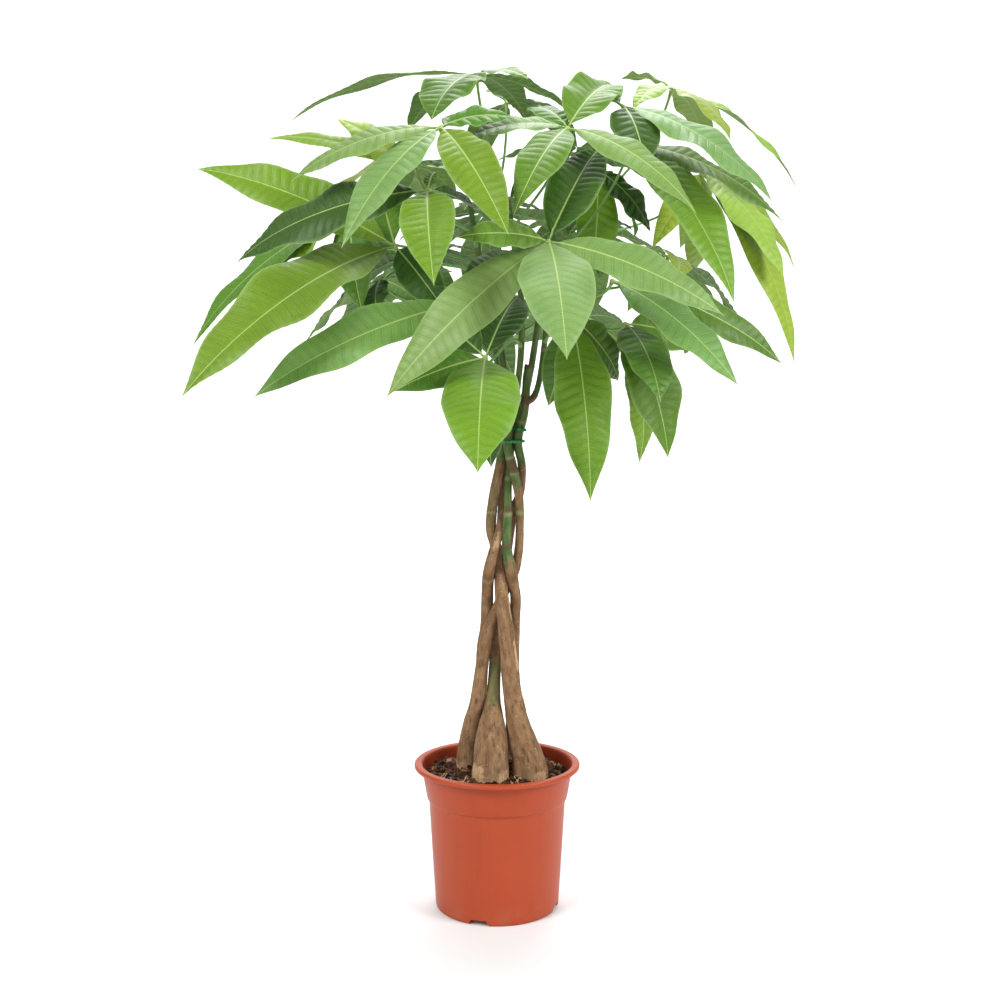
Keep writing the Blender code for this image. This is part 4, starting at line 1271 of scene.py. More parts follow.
@dataclass
class Stem:
    """One braided stem: a route with a radius, the patches on its bark and how swollen its foot is."""

    name: str
    route: tuple[tuple[float, float, float, float], ...]
    bands: tuple[Band, ...]
    seed: int
    stations: int = 420
    sides: int = 40
    cut: bool = False

    def axis(self, count: int) -> tuple[Array, Array]:
        """Centres and radii at evenly numbered stations, in metres.

        Args:
            count: how many stations.

        Returns:
            The centres and the radii.
        """
        stations = route_through(np.array(self.route, float), count) * CM
        return stations[:, :3], stations[:, 3]

    def foot(self) -> Array:
        """The foot's x, y and radius where it leaves the soil."""
        centres, radii = self.axis(200)
        at = int(np.argmin(np.abs(centres[:, 2] - FOOT_HEIGHT)))
        return np.array((*centres[at, :2], radii[at]))

    def zones(self, height: Array, turn: Array, run: Array) -> Array:
        """Four patch values for each point.

        A band is a smooth window over the height, its ends moved by noise, times a window over the turn
        when it has one. Bands of one kind combine by their largest value.

        Args:
            height: each point's height.
            turn: its turn round the stem.
            run: its place along the straightened stem.

        Returns:
            The values.
        """
        ragged = 2.4 * MM * noise(run, 260, self.seed) + 1.2 * MM * noise(run, 900, self.seed + 1)
        found = np.zeros((*height.shape, 4))
        for band in self.bands:
            start, end = band.start * CM, band.end * CM
            soft = 1.2 * MM if band.zone in (Zone.SCAR, Zone.NODE) else 4 * MM
            amount = 0.35 if band.zone is Zone.SCAR else 1.0
            level = height + ragged * amount * (2.2 if band.zone in (Zone.TORN, Zone.GREEN) else 1.0)
            value = smooth_step(start - soft, start + soft, level)
            value = value * (1 - smooth_step(end - soft, end + soft, level))
            if band.turn is not None:
                away = np.abs((turn - math.radians(band.turn) + math.pi) % (2 * math.pi) - math.pi)
                edge = math.radians(band.spread) * (1 + 0.4 * noise(run, 420, self.seed + 2))
                value = value * (1 - smooth_step(0.75, 1.0, away / edge))
            kind = band.zone.value
            found[..., kind] = np.maximum(found[..., kind], band.strength * value)
        return found

    def surface(self) -> Surface:
        """The stem as a tube whose radius changes with its patches.

        The radius is the route's, plus lengthwise fissures and lumps that grow with the foot's swelling,
        plus a ridge at each node and scar, less the depth of torn bark.

        Returns:
            The stem.
        """
        centres, radii = self.axis(self.stations)
        ahead = directions(centres)
        across = square_to(np.broadcast_to(np.array((1.0, 0, 0)), ahead.shape), ahead)
        beside = np.cross(ahead, across)
        turn = np.linspace(0, 2 * math.pi, self.sides, endpoint=False)
        length = np.concatenate([[0], np.cumsum(np.linalg.norm(np.diff(centres, axis=0), axis=1))])
        round_x = radii[:, None] * np.cos(turn)
        round_y = radii[:, None] * np.sin(turn)
        run = np.stack([round_x, round_y, np.broadcast_to(length[:, None], round_x.shape)], axis=-1)
        height = np.broadcast_to(centres[:, None, 2], round_x.shape)
        zones = self.zones(height, np.broadcast_to(turn, round_x.shape), run)
        stretched = run * np.array((1.0, 1.0, 0.22))
        old = (1 - zones[..., 0]) * (0.35 + smooth_step(6 * MM, 16 * MM, radii)[:, None] * 1.6)
        ridges = np.abs(noise(stretched, 420, self.seed + 5))
        ridges = ridges + 0.5 * np.abs(noise(stretched, 1100, self.seed + 6))
        lumps = noise(run * np.array((1.0, 1.0, 0.6)), 95, self.seed + 7)
        off = old * (0.35 * MM * (0.5 - ridges) + 0.30 * MM * lumps) + radii[:, None] * 0.035 * lumps
        off = off + 0.5 * MM * zones[..., 3] + 0.35 * MM * zones[..., 2] - 0.5 * MM * zones[..., 1]
        circle = across[:, None] * np.cos(turn)[None, :, None] + beside[:, None] * np.sin(turn)[None, :, None]
        rings = centres[:, None] + circle * (radii[:, None] + off)[..., None]
        if self.cut:
            made = closed_tube(rings, last=centres[-1] - ahead[-1] * 0.6 * MM)
        else:
            made = closed_tube(*self.tipped(rings, centres[-1], ahead[-1], radii[-1]))
            extra = len(made.points) - 2 - zones.shape[0] * self.sides
            fill = extra // self.sides
            zones = np.concatenate([zones, np.repeat(zones[-1:], fill, axis=0)])
            run = np.concatenate([run, np.repeat(run[-1:], fill, axis=0)])
        ends = np.array([zones[0, 0], zones[-1, 0]])
        made.with_values(zone=np.vstack([zones.reshape(-1, 4), ends]))
        if self.cut:
            made.values["zone"] = made.values["zone"].copy()
            made.values["zone"][-1] = (0, 0.5, 0, 0.6)
        run_ends = np.array([run[0].mean(0), run[-1].mean(0)])
        rows = np.vstack([run.reshape(-1, 3), run_ends])
        made.values["grain"] = np.column_stack([rows, np.ones(len(rows))])
        return made

    def tipped(self, rings: Array, centre: Array, ahead: Array, radius: float) -> tuple[Array, Array, Array]:
        """Adds a growing point: the last ring shrunk by a quarter-ellipse while it moves ahead.

        Args:
            rings: the stem's rings.
            centre: the last centre.
            ahead: the last direction.
            radius: the last radius.

        Returns:
            The rings with the tip's, the first closing point and the last.
        """
        rise = np.linspace(0.18, 0.98, 7)
        shrink = np.sqrt(1 - rise**2)[:, None, None]
        reach = 3.2 * radius
        last = rings[-1] - centre
        tip = centre + last[None] * shrink + ahead * (rise * reach)[:, None, None]
        return np.concatenate([rings, tip]), rings[0].mean(0), centre + ahead * reach

    def shoot(self, route: tuple[tuple[float, float, float, float], ...]) -> Stem:
        """A shoot of this stem, as a green stem of its own."""
        bands = (Band(Zone.GREEN, 0, 99), Band(Zone.NODE, 51.4, 52.7, 0.85), Band(Zone.SCAR, 57.0, 57.3, 0.6))
        return Stem("side_shoot", route, bands, self.seed + 40, stations=220, sides=24)


GREEN_TOP = Band(Zone.GREEN, 45.8, 99)
STEMS = (
    Stem("stem_front_right", (
        (3.5, -2.6, 12.8, 1.50), (3.3, -2.5, 14.6, 1.78), (2.9, -2.4, 16.8, 1.54), (2.2, -2.0, 19.3, 1.19),
        (1.7, -1.6, 21.8, 0.98), (1.1, -1.5, 26.9, 0.86), (0.9, -1.4, 29.1, 0.82), (0.5, -1.4, 32.0, 0.72),
        (0.3, -0.6, 34.9, 0.62), (0.0, 0.0, 36.9, 0.58), (-0.6, 0.1, 38.9, 0.54), (-0.5, 0.0, 41.0, 0.52),
        (-0.2, -0.1, 43.0, 0.53), (0.3, -0.1, 45.6, 0.46), (0.5, 0.1, 48.0, 0.41), (0.8, 0.3, 52.0, 0.39),
        (0.4, 0.6, 57.0, 0.37), (-0.8, 0.6, 62.0, 0.35), (-1.8, 0.4, 66.5, 0.32), (-2.6, 0.2, 71.0, 0.26),
    ), (
        GREEN_TOP, Band(Zone.GREEN, 39.0, 44.0, 0.25), Band(Zone.SCAR, 40.65, 40.95, 0.9),
        Band(Zone.TORN, 12.0, 14.7, 0.9, -45, 34), Band(Zone.TORN, 25.0, 28.0, 1.0, -28, 13),
        Band(Zone.TORN, 30.0, 32.2, 1.0, -22, 12), Band(Zone.SCAR, 51.2, 51.5, 0.7),
        Band(Zone.SCAR, 58.0, 58.3, 0.7),
    ), 21),
    Stem("stem_front_centre", (
        (-0.6, -3.3, 12.8, 1.60), (-0.6, -3.3, 14.6, 1.87), (-0.6, -3.0, 17.0, 1.74), (-0.5, -2.2, 19.4, 1.34),
        (-0.4, -0.8, 21.8, 0.74), (-0.1, 0.3, 26.5, 0.60), (0.3, 0.9, 28.9, 0.56), (0.4, 1.35, 31.6, 0.55),
        (0.7, 1.25, 34.7, 0.53), (1.0, 0.95, 36.8, 0.52), (1.3, 0.55, 38.9, 0.50), (1.7, 0.3, 41.0, 0.45),
        (2.4, 0.3, 43.0, 0.41), (2.5, 0.2, 45.5, 0.42), (2.1, -0.3, 48.0, 0.44), (2.7, -0.2, 50.7, 0.43),
        (2.9, -0.1, 52.8, 0.42), (3.0, -0.1, 54.4, 0.42), (3.3, -0.1, 55.6, 0.50),
    ), (
        Band(Zone.GREEN, 45.4, 99), Band(Zone.GREEN, 21.0, 25.8, 0.55), Band(Zone.TORN, 12.0, 14.5, 0.8, -95, 40),
        Band(Zone.TORN, 12.0, 15.7, 1.0, -140, 30), Band(Zone.TORN, 12.0, 15.0, 1.0, -45, 26),
        Band(Zone.NODE, 51.5, 52.5, 0.8), Band(Zone.NODE, 55.1, 56.5, 0.7), Band(Zone.SCAR, 49.7, 50.0, 0.7),
    ), 22, cut=True),
    Stem("stem_front_left", (
        (-3.1, 0.3, 12.8, 1.10), (-3.0, 0.2, 14.5, 1.21), (-2.9, 0.0, 16.7, 1.11), (-2.6, -0.3, 18.9, 0.91),
        (-2.0, -0.6, 21.6, 0.75), (-1.3, -0.9, 26.8, 0.65), (-0.8, -0.8, 29.0, 0.62), (0.4, 0.1, 31.8, 0.56),
        (1.0, 0.3, 33.3, 0.53), (1.8, 0.1, 34.8, 0.48), (2.2, -0.2, 36.9, 0.45), (2.3, -0.3, 39.0, 0.41),
        (2.3, -0.7, 41.1, 0.43), (2.1, -0.9, 43.1, 0.45), (1.5, -0.95, 45.6, 0.46), (1.0, -0.9, 48.0, 0.42),
        (1.5, -0.9, 50.7, 0.38), (1.9, -0.8, 52.5, 0.34), (2.4, -0.9, 57.0, 0.32), (2.4, -1.3, 62.0, 0.32),
        (1.8, -1.7, 66.5, 0.30), (1.2, -1.9, 71.0, 0.26),
    ), (
        Band(Zone.GREEN, 43.4, 99), Band(Zone.SCAR, 40.6, 41.0, 0.9), Band(Zone.GREEN, 40.2, 41.6, 0.4),
        Band(Zone.NODE, 44.8, 46.3, 0.75), Band(Zone.SCAR, 44.6, 44.85, 0.9), Band(Zone.SCAR, 46.25, 46.5, 0.9),
        Band(Zone.TORN, 12.0, 14.9, 0.7, -100, 60), Band(Zone.SCAR, 53.5, 53.8, 0.7),
    ), 23),
    Stem("stem_back_left", (
        (-1.4, 3.9, 12.8, 1.40), (-1.4, 3.8, 14.4, 1.56), (-1.5, 3.5, 16.3, 1.45), (-1.6, 2.8, 18.6, 1.03),
        (-1.7, 1.8, 21.0, 0.72), (-1.5, 1.0, 26.4, 0.64), (-1.15, 0.8, 28.7, 0.62), (-1.0, 0.3, 31.7, 0.62),
        (-0.95, -0.3, 33.4, 0.60), (-0.8, -1.3, 35.0, 0.57), (-0.3, -1.3, 37.1, 0.50), (0.3, -0.6, 39.0, 0.45),
        (0.5, 0.4, 41.0, 0.44), (0.5, 0.95, 42.9, 0.43), (0.6, 0.9, 45.5, 0.41), (0.8, 1.1, 48.0, 0.40),
        (0.5, 1.6, 52.0, 0.38), (-0.2, 2.4, 58.0, 0.36), (-1.4, 3.2, 64.0, 0.33), (-2.4, 3.8, 70.0, 0.26),
    ), (
        GREEN_TOP, Band(Zone.TORN, 37.4, 38.5, 0.8, -70, 45), Band(Zone.TORN, 12.0, 14.9, 0.8),
        Band(Zone.SCAR, 50.0, 50.3, 0.7), Band(Zone.SCAR, 34.0, 34.3, 0.5),
    ), 24),
    Stem("stem_back_right", (
        (2.2, 3.9, 12.8, 1.40), (2.2, 3.8, 14.4, 1.56), (2.1, 3.5, 16.3, 1.45), (1.9, 2.6, 18.7, 1.03),
        (1.6, 1.3, 21.1, 0.71), (1.7, 0.8, 26.4, 0.58), (1.8, 0.7, 28.8, 0.55), (1.9, 0.0, 31.8, 0.54),
        (1.7, -0.8, 33.4, 0.56), (1.4, -1.4, 35.1, 0.58), (1.0, -1.2, 37.1, 0.50), (1.0, -1.5, 39.1, 0.46),
        (1.1, -1.0, 41.1, 0.42), (1.1, -0.5, 43.1, 0.40), (1.25, 0.1, 45.5, 0.38), (1.5, 0.5, 48.0, 0.38),
        (2.0, 1.0, 50.5, 0.36), (3.2, 1.7, 54.0, 0.34), (4.2, 2.4, 60.0, 0.33), (5.0, 3.0, 65.0, 0.31),
        (5.8, 3.6, 70.5, 0.26),
    ), (
        Band(Zone.GREEN, 35.8, 99), Band(Zone.SCAR, 40.4, 40.8, 1.0), Band(Zone.NODE, 37.3, 37.8, 0.8, -80, 70),
        Band(Zone.NODE, 40.9, 41.3, 0.8, -60, 60), Band(Zone.TORN, 12.0, 14.9, 0.8),
        Band(Zone.SCAR, 44.0, 44.3, 0.8),
    ), 25),
)
SIDE_SHOOT = (
    (2.9, -0.1, 51.9, 0.30), (3.6, 0.0, 52.3, 0.30), (4.1, 0.1, 53.4, 0.30), (4.5, 0.2, 55.6, 0.29),
    (5.0, 0.1, 60.0, 0.28), (5.4, 0.0, 65.0, 0.26), (5.6, 0.0, 70.0, 0.22),
)


@dataclass
class Braid:
    """The five stems together with their side shoot."""

    finish: BarkFinish
    stems: tuple[Stem, ...] = STEMS

    def routes(self) -> dict[str, tuple[Array, Array]]:
        """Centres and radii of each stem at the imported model's stations, and of the side shoot."""
        found = {stem.name: stem.axis(STEM_STATIONS) for stem in self.stems}
        found["side_shoot"] = self.stems[1].shoot(SIDE_SHOOT).axis(SHOOT_STATIONS)
        return found

    def build(self, mottle: bpy.types.NodeTree, specks: bpy.types.NodeTree) -> None:
        """Makes each stem; the shoot goes into its stem's mesh.

        Args:
            mottle: the shared mottling group.
            specks: the shared spots group.
        """
        look = self.finish.make(mottle, specks)
        for stem in self.stems:
            surfaces = [stem.surface()]
            if stem.cut:
                surfaces.append(stem.shoot(SIDE_SHOOT).surface())
            settle(make_piece(stem.name + "_bark", surfaces, [look]), "bark", stem.name)


@dataclass
class Ties:
    """The coated wires round the stems: each runs twice round and ends in a twisted tail."""

    finish: WireFinish
    routes: dict[str, tuple[Array, Array]]
    wire: float = 0.75 * MM
    pitch: float = 1.7 * MM

    def outline(self, around: list[str], height: float, turn: Array) -> Array:
        """Points that stand off the stem that is outermost in each direction.

        Args:
            around: the stems inside the loop.
            height: where the loop lies.
            turn: directions in radians.

        Returns:
            Rows of x and y.
        """
        out = np.column_stack([np.cos(turn), np.sin(turn)])
        rows = []
        for name in around:
            centres, radii = self.routes[name]
            columns = (centres[:, 0], centres[:, 1], radii)
            rows.append([np.interp(height, centres[:, 2], column) for column in columns])
        held = np.array(rows)
        reach = out @ held[:, :2].T + held[:, 2]
        outer = held[np.argmax(reach, axis=1)]
        return outer[:, :2] + out * (outer[:, 2:] * 1.05 + 0.4 * MM + self.wire)

    def loop(self, around: list[str], height: float, tail_turn: float) -> list[Surface]:
        """One tie: a loop twice round, and two strands twisted together that stand out from it.

        Args:
            around: the stems inside the loop.
            height: where the loop lies.
            tail_turn: the direction of its tail in degrees.

        Returns:
            The loop and the strands.
        """
        start = math.radians(tail_turn)
        turn = np.linspace(start, start + 4 * math.pi, 241)
        flat = self.outline(around, height, turn)
        kernel = np.hanning(9)
        padded = np.vstack([flat[:4], flat, flat[-4:]])
        flat = np.column_stack([np.convolve(column, kernel / kernel.sum(), "valid") for column in padded.T])
        rise = np.linspace(-0.5, 0.5, len(turn)) * self.pitch * 1.3
        ring = np.column_stack([flat, height + rise])
        surfaces = [swept(ring, np.full(len(ring), self.wire), 10, np.array((0.0, 0, 1)))]
        out = np.array((math.cos(start), math.sin(start), 0.12))
        side = np.array((-math.sin(start), math.cos(start), 0.0))
        up = np.array((0.0, 0, 1))
        reach = np.linspace(-1.0, 9.0, 70)[:, None] * MM
        spin = reach / (2.2 * MM) * math.pi
        for phase in (0, math.pi):
            twist = (side * np.cos(spin + phase) + up * np.sin(spin + phase)) * self.wire * 1.02
            path = ring[0] + (ring[-1] - ring[0]) / 2 + out * reach + twist - up * reach**2 * 18
            surfaces.append(swept(path, np.full(len(path), self.wire), 9, np.array((0.11, 0.07, 0.99))))
        return surfaces

    def build(self, mottle: bpy.types.NodeTree, specks: bpy.types.NodeTree) -> None:
        """Makes both ties.

        Args:
            mottle: the shared mottling group.
            specks: the shared spots group.
        """
        look = self.finish.make(mottle, specks)
        everyone = [name for name in self.routes if name != "side_shoot"]
        lower = self.loop(everyone, TIE_HEIGHTS[0], -118)
        upper = self.loop(["stem_front_centre", "stem_back_right"], TIE_HEIGHTS[1], -70)
        settle(make_piece("tie_wire_coil", lower, [look]), "green_tie", "tie_wire")
        settle(make_piece("upper_tie_wire_coil", upper, [look]), "green_tie", "upper_tie_wire")


# ---------------------------------------------------------------- leaves


class Tone(Enum):
    """A leaflet's colouring: its green, and how quilted it is between the side veins. The Y tone is painted
    backlight: the glow of light through the leaf, put into its colour.
    """

    LIGHT = "L"
    BRIGHT = "B"
    MIDDLE = "M"
    DEEP = "D"
    PAINTED_BACKLIGHT = "Y"

    @property
    def colour(self) -> Colour:
        """The green, as linear red, green and blue."""
        return TONE_COLOURS[self.value]

    @property
    def quilting(self) -> float:
        """How much its blade bulges between the side veins, next to a middling leaflet's."""
        return TONE_QUILTING[self.value]


TONE_COLOURS: dict[str, Colour] = {
    "L": (0.135, 0.245, 0.058),
    "B": (0.120, 0.225, 0.009),
    "M": (0.068, 0.165, 0.010),
    "D": (0.026, 0.080, 0.006),
    # Y: painted backlight, a paler yellow-green for the glow of light coming through the leaf
    "Y": (0.225, 0.350, 0.035),
}


TONE_QUILTING: dict[str, float] = {"L": 0.75, "B": 1.5, "M": 1.1, "D": 1.7, "Y": 0.7}


@dataclass(frozen=True)
class Leaflet:
    """One leaflet: its tip, its full width and its tone."""

    tip: Array
    width: float
    tone: Tone


@dataclass(frozen=True)
class LeafPlan:
    """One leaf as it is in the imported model: its hub, the way it faces, its leaflets and its stalk's path."""

    name: str
    hub: Array
    facing: Array
    leaflets: tuple[Leaflet, ...]
    stalk: Array
    slot: str


# The stem, the height of its joint, the hub, how far the leaf leans to the front, the leaflets as tip and width,
# in centimetres, and a letter for the tone of each leaflet
PLACED_LEAVES = {
    "leaf_01": ("stem_front_left", 60.0, (4.5, -17.0, 66.0), 0.9, (
        (5.5, -30.0, 55.5, 6.4), (-9.5, -19.0, 52.5, 5.2), (-3.5, -20.0, 66.0, 3.0),
        (19.5, -19.0, 59.5, 4.2), (9.5, -8.0, 75.5, 4.8)), "LLMLD"),
    "leaf_02": ("stem_front_left", 69.0, (6.5, -10.0, 77.0), 0.5, (
        (-3.0, -12.0, 75.5, 3.6), (1.5, -20.0, 68.0, 4.2), (17.5, -16.0, 68.5, 3.8),
        (11.5, 0.0, 83.0, 5.2), (3.0, -3.5, 80.0, 3.2)), "LMLMM"),
    "leaf_03": ("stem_front_left", 70.5, (-5.0, -13.0, 76.5), 0.65, (
        (-13.0, -21.0, 65.0, 4.4), (-18.0, -15.0, 71.5, 3.8), (1.0, -22.0, 66.0, 4.4),
        (1.5, -12.0, 77.5, 3.0), (-1.0, -6.0, 77.5, 3.2)), "LLBMM"),
    "leaf_04": ("stem_front_right", 67.5, (-6.0, -16.0, 70.5), 0.8, (
        (-5.0, -26.0, 61.5, 4.8), (-0.5, -10.0, 68.0, 3.2), (-24.0, -10.0, 64.8, 5.6),
        (-5.5, -13.5, 72.5, 1.2)), "BDDM"),
    "leaf_05": ("stem_front_left", 57.5, (-1.0, -14.0, 56.0), 1.0, (
        (-1.5, -27.0, 46.5, 6.8), (-9.0, -18.0, 53.0, 3.4), (-0.5, -12.0, 46.0, 3.6),
        (2.0, -4.0, 62.0, 4.6), (-6.5, -5.0, 60.0, 4.0)), "BMDDD"),
    "leaf_06": ("side_shoot", 58.0, (7.0, -8.0, 60.0), 1.1, (
        (8.5, -14.0, 43.0, 5.4), (12.0, -2.0, 54.0, 4.0), (5.0, -4.0, 51.5, 3.4)), "BMM"),
    "leaf_07": ("stem_front_right", 64.5, (-9.5, -8.0, 66.5), 1.1, (
        (-26.5, -22.0, 52.5, 6.8), (-28.5, -6.0, 74.0, 4.8), (-11.5, 2.0, 73.0, 3.6),
        (-4.5, -12.0, 60.0, 3.8)), "BBMD"),
    "leaf_08": ("stem_front_right", 61.0, (-3.0, -12.0, 61.0), 0.9, (
        (-21.5, -16.0, 52.5, 4.6), (2.5, -2.0, 66.5, 4.0)), "LD"),
    "leaf_09": ("side_shoot", 61.0, (10.5, -12.0, 63.0), 0.75, (
        (21.0, -18.0, 53.5, 4.6), (18.5, -11.0, 57.0, 3.2), (26.5, -10.0, 55.5, 3.8),
        (16.5, -4.0, 57.5, 3.2)), "LMMM"),
    "leaf_10": ("side_shoot", 59.5, (12.5, -4.0, 59.5), 0.9, (
        (16.5, -6.0, 46.5, 6.0), (15.0, -12.0, 52.0, 5.2), (14.5, 2.0, 45.5, 3.6),
        (20.0, 6.0, 57.0, 4.2)), "MMBM"),
    "leaf_11": ("side_shoot", 69.0, (12.0, -5.0, 80.0), 0.6, (
        (13.5, -11.0, 73.0, 4.8), (25.0, -8.0, 69.5, 5.8), (6.5, 2.0, 84.0, 3.8)), "DLM"),
    "leaf_12": ("side_shoot", 66.5, (13.0, -2.0, 77.0), 0.7, (
        (28.0, -2.0, 69.5, 4.8), (22.0, -10.0, 61.0, 6.2), (18.0, 7.0, 74.0, 4.2)), "MBM"),
    "leaf_13": ("side_shoot", 65.0, (10.0, 1.0, 75.0), 0.9, (
        (9.5, 2.0, 64.5, 4.4), (12.0, -1.5, 65.5, 4.4), (15.5, 2.0, 69.0, 4.2), (14.5, 8.0, 69.0, 4.0)), "BDDM"),
    "leaf_14": ("stem_front_right", 70.0, (-2.0, 0.0, 84.0), 0.15, (
        (-6.0, -9.5, 77.8, 6.0), (-20.5, 0.0, 79.5, 3.2), (3.0, -5.0, 82.5, 3.0),
        (8.0, 1.0, 81.0, 3.6), (-9.5, 10.0, 80.5, 4.6), (2.0, 10.0, 82.0, 4.0)), "MLMMMM"),
    "leaf_15": ("stem_back_left", 66.0, (-15.0, 5.0, 71.0), 0.7, (
        (-13.5, 0.0, 61.0, 4.6), (-25.0, 2.0, 62.5, 5.0), (-30.5, 0.0, 57.5, 4.6),
        (-20.0, 15.0, 75.0, 4.0), (-12.0, 17.0, 67.0, 4.4)), "MYMMM"),
    "leaf_16": ("stem_back_left", 69.0, (-10.0, 10.0, 76.5), 0.9, (
        (-25.0, 12.0, 80.0, 2.6), (-17.0, 9.0, 81.6, 4.8), (-18.0, 19.0, 75.5, 5.0), (-7.0, 23.0, 73.0, 4.4),
        (-1.0, 15.0, 76.0, 4.0)), "YYYYM"),
    "leaf_17": ("stem_back_right", 69.5, (18.5, 10.0, 85.0), 0.3, (
        (32.0, 10.0, 74.5, 4.0), (23.5, 2.0, 78.0, 4.8), (13.5, 15.0, 87.0, 2.8),
        (13.5, 2.0, 81.0, 3.4), (24.0, 21.0, 80.0, 4.2)), "YYYYY"),
    "leaf_18": ("stem_back_right", 67.0, (22.5, 15.0, 77.0), 0.8, (
        (32.5, 12.0, 56.0, 5.0), (33.5, 17.0, 66.5, 4.4), (30.0, 10.0, 64.0, 5.4),
        (21.5, 20.0, 65.0, 4.6), (16.5, 10.0, 68.0, 3.2), (22.0, 28.0, 70.0, 4.4)), "YYYYYY"),
    "leaf_19": ("stem_back_left", 69.8, (1.0, 10.0, 83.5), 0.2, (
        (7.0, 8.0, 82.0, 3.0), (-1.0, 14.0, 85.5, 2.6), (9.0, 17.0, 80.0, 4.4),
        (-3.0, 22.0, 78.0, 4.2)), "MMBB"),
}
# Leaves whose leaflets spread evenly: stem, height, hub, number, length, width, droop and turn in degrees, tones
ROUND_LEAVES = {
    "leaf_20": ("stem_back_left", 62.0, (-9.0, 14.0, 68.0), 6, 14.0, 4.6, 28, 10, "MDMMDM"),
    "leaf_21": ("stem_back_left", 64.0, (-1.0, 18.0, 73.0), 7, 15.0, 4.8, 25, 0, "MDMMDMM"),
    "leaf_22": ("stem_back_right", 64.5, (11.0, 20.0, 71.0), 6, 14.0, 4.8, 28, 20, "MMDMMD"),
    "leaf_23": ("stem_back_left", 59.5, (-3.0, 14.0, 62.5), 6, 12.5, 4.6, 22, 20, "DMDDMD"),
    "leaf_24": ("stem_back_right", 59.5, (9.0, 13.0, 61.0), 6, 13.0, 4.8, 26, 5, "MDMDDM"),
    "leaf_25": ("stem_back_right", 62.0, (18.0, 7.0, 67.0), 6, 12.0, 4.4, 26, 15, "MYMMYD"),
    "leaf_26": ("stem_back_left", 60.8, (-12.0, 5.0, 64.5), 6, 11.0, 4.2, 18, 30, "MDMDMD"),
    "leaf_27": ("stem_back_right", 66.0, (9.0, 8.0, 70.5), 6, 9.0, 3.4, 12, 25, "DDMMDD"),
    "leaf_28": ("stem_front_right", 69.0, (-8.0, -1.0, 75.0), 6, 11.0, 3.8, 20, 0, "MMDMBM"),
    "leaf_29": ("stem_back_right", 69.0, (8.0, 9.0, 78.0), 6, 12.0, 4.2, 18, 12, "MDMDMM"),
}
LEAF_SLOTS = ("leaf_green", "leaf_deep_green", "leaf_young_green")


